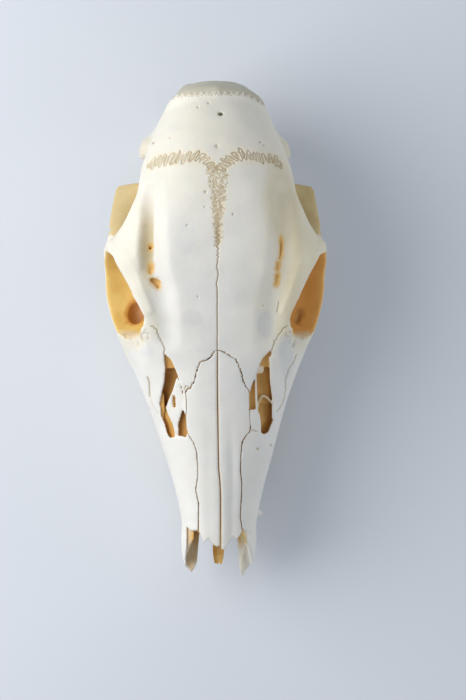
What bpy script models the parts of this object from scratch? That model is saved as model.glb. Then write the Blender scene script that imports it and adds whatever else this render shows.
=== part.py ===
"""White-tailed deer skull, a doe's, without lower jaw and premaxillae.

The skull stands on its cheek teeth and on its two paroccipital processes. Its snout points to -Y,
its roof to +Z, and the plane x = 0 parts it into left (-X) and right (+X). z = 0 is the plane of
the worn tooth crowns.

The cranium is one grown bone with no flat or turned face, so it is described as a distance field:
a hull of oval sections along Y, from which the orbits, fossae and cavities are cut, and to which
arches, condyles and processes are added, each with a soft blend. The field is meshed with OpenVDB.
The nasal bones, vomer and teeth are meshes of their own, with a small gap round each.

Lengths in this file are millimetres, and MM turns them into metres.
"""

import math

import bmesh
import bpy
import numpy as np
import openvdb

MM = 0.001

# Driving dimensions
SNOUT_TIP_Y = -119.4
OCCIPUT_Y = 113.0
NASAL_THICKNESS = 2.0
NASAL_REAR_Y = -9.8
NASAL_FRONT_ROW_Y = -86.0
NASAL_SPUR_Y = -92.0
VOMER_THICKNESS = 1.2
INTERNASAL_GAP = 1.0
PIECE_GAP = 0.3
TOOTH_ROW_FRONT_Y = -63.0
CROWN_HEIGHT = 9.0
TOOTH_HEIGHT = 17.0
NECK_SHARE = 0.86
WORN_SHARE = 0.9
WEAR_RIM = 1.3
WEAR_SLOPE = 0.7
WEAR_DEPTH = 1.4
GROUND_TRIM = 1.5
RING_POINTS = 12
SOCKET_GAP = 0.5
SOCKET_OPEN_BELOW = 5.0
SEAT_OPEN_ABOVE = 5.0
LEDGE = 1.6
GROOVE_RADIUS = 6.0
SNOUT_BEND = 2.2
SNOUT_BEND_LENGTH = 75.0
FIELD_STEP = 1.1
CRANIUM_TRIANGLES = 6400

# Sections of the hull along the skull: y, half width, top, widest height, bottom
HULL_STATIONS = (
    (-124, 16.0, 49.0, 32, 21.0),
    (-112, 16.6, 53.5, 32, 20.0),
    (-106, 17.4, 56.0, 33, 19.0),
    (-100, 17.8, 58.0, 34, 18.0),
    (-90, 17.6, 60.6, 36, 16.5),
    (-82, 18.9, 62.7, 38, 14.5),
    (-71, 21.5, 65.8, 39, 11.5),
    (-59, 24.9, 69.3, 40, 8.6),
    (-47, 28.4, 72.8, 41, 8.2),
    (-32, 33.2, 77.0, 42, 8.2),
    (-20, 37.6, 80.4, 46, 8.2),
    (-9, 41.9, 83.8, 51, 8.2),
    (0, 45.8, 87.0, 57, 8.6),
    (8, 48.6, 90.2, 61, 10.0),
    (15, 50.1, 93.0, 63, 18.0),
    (25, 50.7, 96.2, 65, 34.0),
    (34, 51.0, 98.2, 66, 38.0),
    (38, 49.4, 98.9, 66, 39.0),
    (41, 47.6, 99.4, 66, 39.5),
    (47, 44.2, 100.2, 66, 40.0),
    (54, 41.4, 101.0, 66, 40.0),
    (62, 37.9, 101.4, 65, 39.5),
    (69, 36.0, 101.3, 64, 39.0),
    (76, 33.6, 100.4, 63, 37.0),
    (84, 30.6, 98.2, 61, 34.0),
    (95, 25.8, 93.0, 58, 31.0),
    (102, 22.4, 88.8, 56, 30.0),
    (106.5, 20.4, 85.4, 55, 30.0),
    (110, 16.8, 82.0, 54, 31.0),
    (118, 9.0, 73.0, 53, 34.0),
)
# Exponents of the oval sections: y, above the widest height, below it
HULL_SHARPNESS = (
    (-124, 2.3, 3.0),
    (-60, 2.2, 4.0),
    (0, 2.2, 4.5),
    (38, 2.3, 4.0),
    (60, 2.4, 2.6),
    (118, 2.3, 2.1),
)
# Half width of the two nasal bones: y, x
NASAL_EDGE = (
    (-100, 9.0),
    (-92, 10.2),
    (-86, 9.6),
    (-77, 10.2),
    (-71, 10.2),
    (-65, 9.8),
    (-57, 10.1),
    (-51.5, 11.2),
    (-46.5, 14.3),
    (-38, 15.1),
    (-31, 15.1),
    (-27, 13.9),
    (-23.4, 10.9),
    (-18.5, 9.8),
    (-14, 7.2),
    (-11.6, 4.0),
    (NASAL_REAR_Y, 1.3),
)
# Front edge of a nasal bone: share of its width from the midline, y
NASAL_FRONT = ((0.0, -99.2), (0.2, -100.0), (0.5, -95.9), (0.74, -98.0), (1.0, -92.6))
# Outline of the ethmoidal vacuity beside the nasal bone: x, y
VACUITY = (
    (24.2, -11.8),
    (21.8, -13.4),
    (19.9, -17.4),
    (17.6, -23.4),
    (16.2, -27.0),
    (14.6, -31.5),
    (14.2, -46.0),
    (16.0, -50.0),
    (20.5, -50.6),
    (24.2, -44.0),
    (26.6, -38.8),
    (27.2, -33.0),
    (26.4, -28.0),
    (25.0, -23.0),
    (24.8, -17.5),
    (25.4, -13.8),
)
# Upper opening of the orbit, as it is seen from above: x, y
ORBIT_WINDOW = (
    (46.5, 34.0),
    (42.2, 25.0),
    (37.6, 13.5),
    (33.4, 7.2),
    (34.0, 2.0),
    (39.0, -1.5),
    (62.0, -1.5),
    (62.0, 34.0),
)
# Teeth from front to back: name, length along the row, breadth, lobes
TEETH = (
    ("premolar_2", 10.5, 7.5, 1),
    ("premolar_3", 11.0, 9.5, 1),
    ("premolar_4", 11.0, 11.0, 1),
    ("molar_1", 13.0, 12.5, 2),
    ("molar_2", 15.0, 13.5, 2),
    ("molar_3", 15.5, 13.0, 2),
)
# Middle line of the tooth row: y, x
TOOTH_LINE = ((-63, 17.8), (-50, 20.2), (-30, 23.2), (-10, 25.0), (14, 25.4))


def curve(points):
    """A smooth function through the points (place, value)."""
    places, values = np.array(points, float).T
    slopes = np.gradient(values, places)

    def at(place):
        place = np.asarray(place, float)
        i = np.clip(np.searchsorted(places, place) - 1, 0, len(places) - 2)
        span = places[i + 1] - places[i]
        t = np.clip((place - places[i]) / span, 0.0, 1.0)
        return (
            values[i] * (1 + 2 * t) * (1 - t) ** 2
            + slopes[i] * span * t * (1 - t) ** 2
            + values[i + 1] * t**2 * (3 - 2 * t)
            - slopes[i + 1] * span * t**2 * (1 - t)
        )

    return at


half_width = curve([(s[0], s[1]) for s in HULL_STATIONS])
top_height = curve([(s[0], s[2]) for s in HULL_STATIONS])
mid_height = curve([(s[0], s[3]) for s in HULL_STATIONS])
low_height = curve([(s[0], s[4]) for s in HULL_STATIONS])
upper_power = curve([(s[0], s[1]) for s in HULL_SHARPNESS])
lower_power = curve([(s[0], s[2]) for s in HULL_SHARPNESS])
nasal_edge = curve(sorted(NASAL_EDGE))
tooth_line = curve(TOOTH_LINE)


def roof(x, y):
    """Height of the hull's upper surface over a point."""
    share = np.clip(np.abs(x) / half_width(y), 0.0, 0.999)
    power = upper_power(y)
    rise = (1 - share**power) ** (1 / power)
    return mid_height(y) + (top_height(y) - mid_height(y)) * rise


def bend(y):
    """How far the snout leans to the right: 0 behind y = 0, SNOUT_BEND at its front."""
    share = np.clip(-np.asarray(y, float) / SNOUT_BEND_LENGTH, 0, 1)
    return SNOUT_BEND * share**2 * (3 - 2 * share)


class Shape:
    """A distance function and the box outside which it is surely positive."""

    def __init__(self, distance, low, high):
        self.distance = distance
        self.low = low
        self.high = high


def oval_distance(u, v, width, height, power):
    """Distance to the oval |u/width|^power + |v/height|^power = 1, to first order."""
    u = np.abs(u) / width + 1e-4
    v = np.abs(v) / height + 1e-4
    reach = (u**power + v**power) ** (1 / power)
    slope_u = (u / reach) ** (power - 1) / width
    slope_v = (v / reach) ** (power - 1) / height
    return (reach - 1) / np.sqrt(slope_u**2 + slope_v**2)


def tube_along_y(width, height, middle, front_y, rear_y, power=2.0, low=-20.0, high=120.0):
    """An oval tube along the skull, whose half width, half height and middle are functions of y."""

    def distance(x, y, z):
        across = oval_distance(x, z - middle(y), width(y), height(y), power)
        return np.maximum(across, np.maximum(front_y - y, y - rear_y))

    most = float(np.max(width(np.linspace(front_y, rear_y, 60))))
    return Shape(distance, (-most, front_y, low), (most, rear_y, high))


def ellipsoid(middle, radii):
    def distance(x, y, z):
        offsets = [(p - m) / r for p, m, r in zip((x, y, z), middle, radii)]
        reach = np.sqrt(sum(o * o for o in offsets)) + 1e-6
        slope = np.sqrt(sum((o / r) ** 2 for o, r in zip(offsets, radii))) + 1e-6
        return reach * (reach - 1) / slope

    return Shape(
        distance,
        tuple(m - r for m, r in zip(middle, radii)),
        tuple(m + r for m, r in zip(middle, radii)),
    )


def strut(points, radii, squash=(1.0, 1.0, 1.0), samples=6):
    """A round bar along a smooth line through the points, flattened by squash."""
    places = np.arange(len(points))
    along = np.linspace(0, len(points) - 1, (len(points) - 1) * samples + 1)
    line = np.stack(
        [curve(np.stack([places, column], 1))(along) for column in np.array(points, float).T], 1
    )
    sizes = curve(np.stack([places, radii], 1))(along)
    stretch = 1 / np.array(squash)

    def distance(x, y, z):
        nearest = None
        for start, end, r0, r1 in zip(line, line[1:], sizes, sizes[1:]):
            run = (end - start) * stretch
            offset = [(p - s) * k for p, s, k in zip((x, y, z), start, stretch)]
            share = sum(o * r for o, r in zip(offset, run)) / max(run @ run, 1e-6)
            share = np.clip(share, 0, 1)
            gap = np.sqrt(sum((o - share * r) ** 2 for o, r in zip(offset, run)))
            gap = gap - (r0 + (r1 - r0) * share)
            nearest = gap if nearest is None else np.minimum(nearest, gap)
        return nearest * min(squash)

    reach = sizes.max() * max(squash)
    return Shape(distance, tuple(line.min(0) - reach), tuple(line.max(0) + reach))


def polygon_distance(u, v, corners):
    """Signed distance to a closed outline in a plane, negative inside."""
    nearest = None
    inside = False
    for (u0, v0), (u1, v1) in zip(corners, corners[1:] + corners[:1]):
        run_u, run_v = u1 - u0, v1 - v0
        share = ((u - u0) * run_u + (v - v0) * run_v) / (run_u**2 + run_v**2)
        share = np.clip(share, 0, 1)
        gap = (u - u0 - share * run_u) ** 2 + (v - v0 - share * run_v) ** 2
        nearest = gap if nearest is None else np.minimum(nearest, gap)
        if run_v:
            crosses = (v0 > v) != (v1 > v)
            inside = inside ^ (crosses & (u < (v - v0) * run_u / run_v + u0))
    return np.where(inside, -1, 1) * np.sqrt(nearest)


def upright_prism(corners, bottom, top=130.0):
    """An outline in x and y, swept up from bottom to top."""
    corners = list(corners)

    def distance(x, y, z):
        side = polygon_distance(x, y, corners)
        return np.maximum(side, np.maximum(bottom - z, z - top))

    xs, ys = zip(*corners)
    return Shape(distance, (min(xs), min(ys), bottom), (max(xs), max(ys), top))


def side_plate(corners, inner_x, outer_x):
    """An outline in y and z, swept from inner_x to outer_x."""
    corners = list(corners)

    def distance(x, y, z):
        side = polygon_distance(y, z, corners)
        return np.maximum(side, np.maximum(inner_x - x, x - outer_x))

    ys, zs = zip(*corners)
    return Shape(distance, (inner_x, min(ys), min(zs)), (outer_x, max(ys), max(zs)))


def rounded_box(middle, half_sizes, rounding):
    def distance(x, y, z):
        over = [
            np.abs(p - m) - (h - rounding) for p, m, h in zip((x, y, z), middle, half_sizes)
        ]
        outside = np.sqrt(sum(np.maximum(o, 0) ** 2 for o in over))
        inside = np.minimum(np.maximum(np.maximum(over[0], over[1]), over[2]), 0)
        return outside + inside - rounding

    return Shape(
        distance,
        tuple(m - h for m, h in zip(middle, half_sizes)),
        tuple(m + h for m, h in zip(middle, half_sizes)),
    )


class Field:
    """The right half of the skull's space, x >= 0, sampled every step."""

    def __init__(self, step):
        self.step = step
        self.axes = [
            np.arange(math.floor(low / step), math.ceil(high / step) + 1) * step
            for low, high in ((0.0, 56.0), (-124.0, 126.0), (-5.0, 108.0))
        ]
        self.value = np.full([len(a) for a in self.axes], 60.0, np.float32)

    def samples(self, shape, margin):
        """The slices that hold the shape's box, and their coordinates."""
        slices = []
        for axis, low, high in zip(self.axes, shape.low, shape.high):
            start = np.searchsorted(axis, low - margin)
            end = np.searchsorted(axis, high + margin)
            slices.append(slice(max(start, 0), max(end, 1)))
        x, y, z = (axis[s] for axis, s in zip(self.axes, slices))
        return tuple(slices), (x[:, None, None], y[None, :, None], z[None, None, :])

    def add(self, shape, blend=1.0):
        slices, place = self.samples(shape, blend + 3)
        old, new = self.value[slices], shape.distance(*place)
        overlap = np.maximum(blend - np.abs(old - new), 0) / blend
        self.value[slices] = np.minimum(old, new) - overlap**2 * blend / 4

    def cut(self, shape, blend=1.0):
        slices, place = self.samples(shape, blend + 3)
        old, new = self.value[slices], -shape.distance(*place)
        overlap = np.maximum(blend - np.abs(old - new), 0) / blend
        self.value[slices] = np.maximum(old, new) + overlap**2 * blend / 4

    def mesh(self):
        """Points in millimetres and faces of the surface of both halves."""
        whole = np.concatenate([self.value[:0:-1], self.value]) / self.step
        grid = openvdb.FloatGrid(3.0)
        start = [round(axis[0] / self.step) for axis in self.axes]
        start[0] = 1 - self.value.shape[0]
        grid.copyFromArray(np.clip(whole, -3, 3).astype(np.float32), ijk=start)
        points, triangles, quads = grid.convertToPolygons(isovalue=0.0, adaptivity=0.0)
        points = points * self.step
        points[:, 0] += bend(points[:, 1])
        return points, triangles, quads


def everywhere(distance):
    return Shape(distance, (-60.0, -130.0, -10.0), (60.0, 130.0, 115.0))


def hull(x, y, z):
    width, top, mid, low = half_width(y), top_height(y), mid_height(y), low_height(y)
    above = z > mid
    height = np.where(above, top - mid, mid - low)
    power = np.where(above, upper_power(y), lower_power(y))
    return oval_distance(x, z - mid, width, height, power)


def occiput_end(x, y, z):
    """Behind the occipital plane, which leans back a little towards its foot."""
    return OCCIPUT_Y + (75 - z) * 0.04 - y


def snout_front(x, y, z):
    """Above the oblique front edges of the maxillae, where the premaxillae were."""
    return 0.68 * (57.5 + (y + 93.5) * 1.12 - z)


def add_hull(field):
    field.add(everywhere(hull), 0.1)
    field.cut(everywhere(occiput_end), 5.0)
    field.cut(everywhere(snout_front), 1.0)


def cut_orbit_and_fossae(field):
    field.cut(ellipsoid((46, 16, 70), (24, 19.6, 17)), 2.0)
    field.cut(upright_prism(ORBIT_WINDOW, 68.0), 2.0)
    field.cut(ellipsoid((50, 61.5, 64), (21, 18.5, 19)), 2.5)
    field.cut(rounded_box((31, 47, 22), (17, 31, 31), 12.0), 4.0)
    field.cut(rounded_box((46, 62, 22), (20, 17, 33), 10.0), 3.0)


def add_zygomatic_arch(field):
    arch = [(26, 66, 50), (34, 65.5, 47), (41, 62.5, 46), (44.2, 54, 46.5), (45.6, 46, 49)]
    arch.append((46.3, 36, 52))
    field.add(strut(arch, (7, 5.4, 4.6, 4.2, 3.6, 3.8), (1.0, 1.0, 0.85)), 3.0)
    shelf = [(31, 66, 46), (37, 60, 44), (41, 52, 45.5), (44, 44, 49)]
    field.add(strut(shelf, (4.6, 4.2, 3.6, 2.6), (1.2, 1.0, 0.7)), 3.0)
    bar = [(47.2, 36, 52), (48.0, 37.5, 62), (46.6, 38.5, 74)]
    field.add(strut(bar, (3.4, 2.8, 3.0)), 2.0)
    jugal = [(46.8, 38, 52), (46.4, 20, 49.5), (42.4, 3, 46), (37, -12, 40)]
    field.add(strut(jugal, (3.6, 3.4, 3.6, 3.6)), 3.0)


def add_braincase_base(field):
    field.add(ellipsoid((28, 84, 47), (7.0, 6.5, 12)), 4.0)
    field.add(strut([(31.5, 82, 43), (24, 82, 41)], (4.2, 5.0)), 2.0)
    field.add(ellipsoid((18, 78, 34), (7, 11, 9)), 2.0)
    crest = [(0, 106.5, 84.5), (12, 105.8, 81), (18.4, 103, 74), (21, 98, 64), (25, 92, 54)]
    crest.append((29, 86, 46))
    field.add(strut(crest, (3.2, 3.0, 2.4, 2.2, 2.4, 3.0)), 4.0)
    process = [(24, 89, 44), (24.5, 92, 30), (23.5, 94, 15), (22.5, 94, -4)]
    field.add(strut(process, (8.0, 6.6, 5.4, 4.0), (0.65, 1.0, 1.0)), 3.0)
    field.add(ellipsoid((11.0, 106, 38.5), (8.0, 10.2, 11.0)), 3.0)
    field.add(strut([(10, 104, 32), (6, 96, 30)], (5.0, 4.0)), 3.0)


def add_pterygoids(field):
    outline = [(8, 12), (17, 14), (28, 22), (40, 33), (54, 42), (50, 54), (8, 54)]
    field.add(side_plate(outline, 9.0, 12.4), 3.0)


def cut_braincase(field):
    field.cut(ellipsoid((0, 70, 68), (24, 35, 23)), 1.0)
    field.cut(strut([(0, 95, 54), (0, 122, 46)], (9.0, 9.4), (1.0, 1.0, 0.9)), 1.5)
    field.cut(strut([(40, 82.5, 43), (25, 82, 41)], (2.6, 2.2)), 1.0)


def cut_nasal_cavity(field):
    floor = curve([(-130, 28), (-90, 25), (-75, 23), (-60, 21), (14, 21)])
    ceiling = curve(
        [(-130, 51), (-100, 54.6), (-59, 66.0), (-20, 77.0), (-8, 78), (4, 72), (12, 60)]
    )
    front_widths = [(-130, 13), (-100, 14), (-82, 15.2), (-59, 20.2)]
    width = curve(front_widths + [(-32, 28.2), (-20, 29), (-8, 20), (4, 15), (12, 9)])
    cavity = tube_along_y(
        width,
        lambda y: (ceiling(y) - floor(y)) / 2,
        lambda y: (ceiling(y) + floor(y)) / 2,
        -130.0,
        12.0,
        2.1,
    )
    field.cut(cavity, 1.5)
    choana = tube_along_y(
        lambda y: 8.0 + 0 * y, lambda y: 8.5 + 0 * y, lambda y: 29.0 + 0 * y, -12.0, 60.0, 2.4
    )
    field.cut(choana, 1.5)
    field.cut(upright_prism(VACUITY, 44.0), 0.8)


def cut_palate(field):
    front_reach = [(-130, 8.2), (-95, 9.0), (-75, 10.5), (-60, 12.6)]
    reach = curve(front_reach + [(-40, 15.5), (-10, 17.6), (20, 18)])
    top = curve([(-130, 24), (-90, 21.5), (-75, 19.4), (-60, 17.4), (20, 17.4)])
    vault = tube_along_y(reach, lambda y: top(y) - 2, lambda y: 2.0 + 0 * y, -130.0, 30.0, 2.6)
    field.cut(vault, 2.0)
    notch = tube_along_y(
        curve([(-130, 10.4), (-112, 10.2), (-100, 9.2), (-92, 8.4)]),
        lambda y: 60.0 + 0 * y,
        lambda y: 30.0 + 0 * y,
        -130.0,
        -95.0,
        6.0,
    )
    field.cut(notch, 1.0)
    trough = [(13.0, -90, 38), (13.4, -102, 37), (13.6, -112, 32), (13.2, -122, 28)]
    field.cut(strut(trough, (3.0, 3.2, 2.8, 2.2), (0.9, 1.0, 1.5)), 1.0)
    tip_edge = [(8, -110), (12.0, SNOUT_TIP_Y), (16.2, -113.5), (19, -104), (24, -104)]
    field.cut(upright_prism(tip_edge + [(24, -132), (8, -132)], -10.0), 1.5)


def cut_nasal_opening(field):
    """The gap under the nasal bones, a little narrower than they are, so that a ledge is left."""

    def opening(x, y, z):
        beside = x - (nasal_edge(y) - LEDGE)
        return np.maximum(np.maximum(beside, mid_height(y) - z), y - NASAL_REAR_Y + LEDGE)

    field.cut(Shape(opening, (0, -130, 30), (20, NASAL_REAR_Y, 120)), 0.5)


def carve_roof(field):
    """The supraorbital groove, and the shallow lacrimal pit in front of the orbit."""
    groove = [(32.5, 60), (31.2, 48), (30.4, 36), (29.4, 26), (26.6, 16), (25.0, 6), (24.4, -5)]
    heights = [float(roof(x, y)) for x, y in groove]
    lifts = (6.2, 4.6, 3.2, 3.2, 3.6, 4.6, 5.8)
    line = [(x, y, h + lift) for (x, y), h, lift in zip(groove, heights, lifts)]
    field.cut(strut(line, [GROOVE_RADIUS] * len(line)), 4.0)
    field.cut(strut([(30.4, 36, 90), (30.4, 34, 70)], (1.6, 1.6)), 1.0)
    field.cut(ellipsoid((40.5, -9, float(roof(36.5, -9)) + 3.6), (7, 9, 6)), 4.0)
    field.cut(strut([(30, -61, 33), (24, -52, 34), (18, -44, 35)], (2.6, 2.8, 2.8), (1, 1, 1.3)), 1.2)


def tooth_places():
    """Name, length, breadth, lobes, middle and turn of each tooth of the right row."""
    y = TOOTH_ROW_FRONT_Y
    for name, length, breadth, lobes in TEETH:
        middle = y + length / 2
        slope = float(tooth_line(middle + 2) - tooth_line(middle - 2)) / 4
        yield name, length, breadth, lobes, (float(tooth_line(middle)), middle), math.atan(slope)
        y += length


def tooth_ring(length, breadth, lobes, scale, inset):
    """Outline of a tooth at one level, in its own x (across) and y (along the row)."""
    points = []
    for i in range(RING_POINTS):
        angle = 2 * math.pi * i / RING_POINTS
        c, s = math.cos(angle), math.sin(angle)
        square = (abs(c) ** 4 + abs(s) ** 4) ** -0.25
        waist = 0.86 + 0.14 * abs(math.sin(2 * angle)) if lobes == 2 else 1.0
        half_x = breadth / 2 * scale * waist - inset
        half_y = (length / 2 - 0.25) * min(scale + 0.06, 1.0) - inset
        points.append((c * square * half_x, s * square * half_y))
    return points


def end_processes(field):
    """Ends the paroccipital processes just below z = 0, where the ground cutter trims them."""
    field.cut(everywhere(lambda x, y, z: z + GROUND_TRIM + 0 * x + 0 * y), 0.01)


def cranium_field(step):
    field = Field(step)
    add_hull(field)
    cut_orbit_and_fossae(field)
    add_zygomatic_arch(field)
    add_braincase_base(field)
    add_pterygoids(field)
    cut_braincase(field)
    cut_nasal_cavity(field)
    cut_palate(field)
    cut_nasal_opening(field)
    carve_roof(field)
    end_processes(field)
    return field


def material(name, colour, roughness):
    made = bpy.data.materials.new(name)
    made.use_nodes = True
    shader = made.node_tree.nodes["Principled BSDF"]
    shader.inputs["Base Color"].default_value = (*colour, 1.0)
    shader.inputs["Roughness"].default_value = roughness
    shader.inputs["Metallic"].default_value = 0.0
    made.diffuse_color = (*colour, 1.0)
    return made


def new_object(name, mesh, collection, look):
    made = bpy.data.objects.new(name, mesh)
    collection.objects.link(made)
    mesh.materials.append(look)
    mesh.shade_smooth()
    return made


def largest_body(bm):
    """Removes every loose crumb but the largest connected piece."""
    bm.verts.ensure_lookup_table()
    seen = set()
    bodies = []
    for first in bm.verts:
        if first in seen:
            continue
        seen.add(first)
        body, queue = [first], [first]
        while queue:
            for edge in queue.pop().link_edges:
                for vert in edge.verts:
                    if vert not in seen:
                        seen.add(vert)
                        body.append(vert)
                        queue.append(vert)
        bodies.append(body)
    bodies.sort(key=len)
    for body in bodies[:-1]:
        bmesh.ops.delete(bm, geom=body, context="VERTS")


def build_cranium(collection, look):
    points, triangles, quads = cranium_field(FIELD_STEP).mesh()
    mesh = bpy.data.meshes.new("cranium")
    faces = [tuple(f) for f in triangles.tolist()] + [tuple(f) for f in quads.tolist()]
    mesh.from_pydata((points * MM).tolist(), [], faces)
    bm = bmesh.new()
    bm.from_mesh(mesh)
    largest_body(bm)
    bmesh.ops.triangulate(bm, faces=bm.faces)
    bmesh.ops.recalc_face_normals(bm, faces=bm.faces)
    bm.to_mesh(mesh)
    bm.free()
    made = new_object("cranium", mesh, collection, look)
    thin = made.modifiers.new("fewer_faces", "DECIMATE")
    thin.ratio = CRANIUM_TRIANGLES / len(mesh.polygons)
    return made


def slab_object(name, rows, up, down, collection, look):
    """A closed slab round rows of points, from up above them to down below them."""
    bm = bmesh.new()
    top, bottom = (
        [
            [bm.verts.new(((x + bend(y)) * MM, y * MM, (z + rise) * MM)) for x, y, z in row]
            for row in rows
        ]
        for rise in (up, -down)
    )
    for grid in (top, bottom):
        for front, rear in zip(grid, grid[1:]):
            for a, b, c, d in zip(front, front[1:], rear[1:], rear):
                bm.faces.new((a, b, c, d))
    rims = []
    for grid in (top, bottom):
        rim = grid[0] + [row[-1] for row in grid[1:]]
        rims.append(rim + grid[-1][-2::-1] + [row[0] for row in grid[-2:0:-1]])
    for a, b, c, d in zip(rims[0], rims[0][1:] + rims[0][:1], rims[1][1:] + rims[1][:1], rims[1]):
        bm.faces.new((a, b, c, d))
    bmesh.ops.recalc_face_normals(bm, faces=bm.faces)
    mesh = bpy.data.meshes.new(name)
    bm.to_mesh(mesh)
    bm.free()
    return new_object(name, mesh, collection, look)


def nasal_points(side):
    """Rows of points over one nasal bone, from its front edge to its rear one."""
    inner = INTERNASAL_GAP / 2
    rows = []
    for place in [None] + [y for y, _ in NASAL_EDGE if y >= NASAL_FRONT_ROW_Y]:
        row = []
        for share, front in NASAL_FRONT[::side]:
            y = front if place is None else place
            x = inner + (float(nasal_edge(y)) - inner) * share
            row.append((side * x, y, float(roof(x, y))))
        rows.append(row)
    return rows


def build_nasal(side, collection, look):
    name = "nasal_right" if side > 0 else "nasal_left"
    return slab_object(name, nasal_points(side), 0.0, NASAL_THICKNESS, collection, look)


def build_seat_cutter(collection, look):
    """The space of both nasal bones with the gap round them, and some above."""
    places = [y for y, _ in NASAL_EDGE if NASAL_FRONT_ROW_Y <= y < NASAL_REAR_Y]
    widest = float(nasal_edge(NASAL_SPUR_Y))
    rows = []
    for y in [NASAL_SPUR_Y - 14, NASAL_SPUR_Y - 2] + places + [NASAL_REAR_Y + PIECE_GAP]:
        reach = (widest if y < NASAL_SPUR_Y else float(nasal_edge(y))) + PIECE_GAP
        rows.append([(u * reach, y, float(roof(u * reach, y))) for u in np.linspace(-1, 1, 9)])
    down = NASAL_THICKNESS + PIECE_GAP
    return slab_object("nasal_seat", rows, SEAT_OPEN_ABOVE, down, collection, look)


def build_socket_cutter(side, collection, look):
    """A trough along one tooth row, a little wider than the necks of its teeth."""
    places = list(tooth_places())
    stops = [TOOTH_ROW_FRONT_Y] + [place[4][1] for place in places]
    stops.append(TOOTH_ROW_FRONT_Y + sum(tooth[1] for tooth in TEETH))
    breadths = [TEETH[0][2]] + [tooth[2] for tooth in TEETH] + [TEETH[-1][2]]
    rows = []
    for y, breadth in zip(stops, breadths):
        reach = breadth / 2 * NECK_SHARE + SOCKET_GAP
        middle = side * float(tooth_line(y))
        rows.append([(middle + u * reach, y, 0.0) for u in (-1, 1)])
    name = f"sockets_{'right' if side > 0 else 'left'}"
    up = TOOTH_HEIGHT + SOCKET_GAP
    return slab_object(name, rows, up, SOCKET_OPEN_BELOW, collection, look)


def build_ground_cutter(collection, look):
    """Everything below z = 0, which trims the paroccipital processes flat."""
    rows = [[(x, y, 0.0) for x in (-60.0, 60.0)] for y in (-130.0, 130.0)]
    return slab_object("ground", rows, 0.0, 10.0, collection, look)


def cut_with(made, cutter):
    cutter.hide_render = True
    cutter.display_type = "WIRE"
    cut = made.modifiers.new(f"cut_{cutter.name}", "BOOLEAN")
    cut.object = cutter
    cut.operation = "DIFFERENCE"
    cut.solver = "EXACT"


def build_vomer(collection, look):
    """A trough of thin bone that stands on the palate in the middle of the nasal cavity."""
    stations = (
        (-111.5, 24.0, 2.0, 2.0),
        (-104, 24.4, 2.7, 4.0),
        (-95, 26.0, 2.8, 7.0),
        (-80, 27.0, 2.6, 9.0),
        (-50, 26.0, 2.4, 10.0),
    )
    profile = (-1.0, -0.85, -0.5, 0.0, 0.5, 0.85, 1.0)
    rows = [
        [(u * reach, y, foot + 1.5 + height * abs(u) ** 2.2) for u in profile]
        for y, foot, reach, height in stations
    ]
    return slab_object("vomer", rows, 0.0, VOMER_THICKNESS, collection, look)


def build_tooth(side, place, collection, look):
    """A cheek tooth: a crown with a worn rim round a hollow, and a root block in its socket.

    Its levels are heights above the worn rim, widths as shares of the tooth's own, and insets.
    """
    name, length, breadth, lobes, (x, y), turn = place
    name = f"{name}_{'right' if side > 0 else 'left'}"
    levels = [(TOOTH_HEIGHT, 0.72, 0.0), (CROWN_HEIGHT, NECK_SHARE - 0.02, 0.0), (5.0, 0.98, 0.0)]
    levels += [(1.6, 1.0, 0.0), (0.0, WORN_SHARE, 0.0), (0.0, WORN_SHARE, WEAR_RIM)]
    levels.append((WEAR_DEPTH, WORN_SHARE, WEAR_RIM + WEAR_SLOPE))
    bm = bmesh.new()
    rings = []
    for z, scale, inset in levels:
        ring = tooth_ring(length, breadth, lobes, scale, inset)
        rings.append([bm.verts.new((u * MM, v * MM, z * MM)) for u, v in ring])
    for lower, upper in zip(rings, rings[1:]):
        for a, b, c, d in zip(lower, lower[1:] + lower[:1], upper[1:] + upper[:1], upper):
            bm.faces.new((a, b, c, d))
    bm.faces.new(rings[0])
    bm.faces.new(rings[-1])
    bmesh.ops.recalc_face_normals(bm, faces=bm.faces)
    mesh = bpy.data.meshes.new(name)
    bm.to_mesh(mesh)
    bm.free()
    made = new_object(name, mesh, collection, look)
    mesh.set_sharp_from_angle(angle=math.radians(40))
    made.location = ((side * x + bend(y)) * MM, y * MM, 0)
    made.rotation_euler = (0, 0, -side * turn)
    return made


def main():
    for old in list(bpy.data.objects):
        bpy.data.objects.remove(old)
    parts = bpy.data.collections.new("white_tailed_deer_skull")
    bpy.context.scene.collection.children.link(parts)
    bone = material("bone", (0.87, 0.85, 0.79), 0.55)
    stained = material("stained_bone", (0.62, 0.42, 0.17), 0.5)
    enamel = material("tooth", (0.80, 0.74, 0.62), 0.35)
    cutters = bpy.data.collections.new("cutters")
    bpy.context.scene.collection.children.link(cutters)
    cranium = build_cranium(parts, bone)
    cut_with(cranium, build_seat_cutter(cutters, bone))
    cut_with(cranium, build_ground_cutter(cutters, bone))
    for side in (-1, 1):
        cut_with(cranium, build_socket_cutter(side, cutters, bone))
        build_nasal(side, parts, bone)
        for place in tooth_places():
            build_tooth(side, place, parts, enamel)
    build_vomer(parts, stained)


main()
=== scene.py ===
"""Looks of the white-tailed deer skull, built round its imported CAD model.

The cranium is the CAD's own distance field, sampled finer, with what tells the left side from the
right cut into it: the two ethmoidal vacuities with their turbinates, the broken front edges of the
maxillae and the openings in the brow. Fine relief seen from above, such as sutures, cracks, pores
and foramina, is drawn by formula on a height map in x and y, and the finely divided surface is
carved with it. The nasal bones, vomer and teeth are meshes of their own.

Lengths are millimetres until MM turns them into metres. Every shape is modelled with a straight
snout and then leans with bend(y), as in the CAD.
"""

import math

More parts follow.
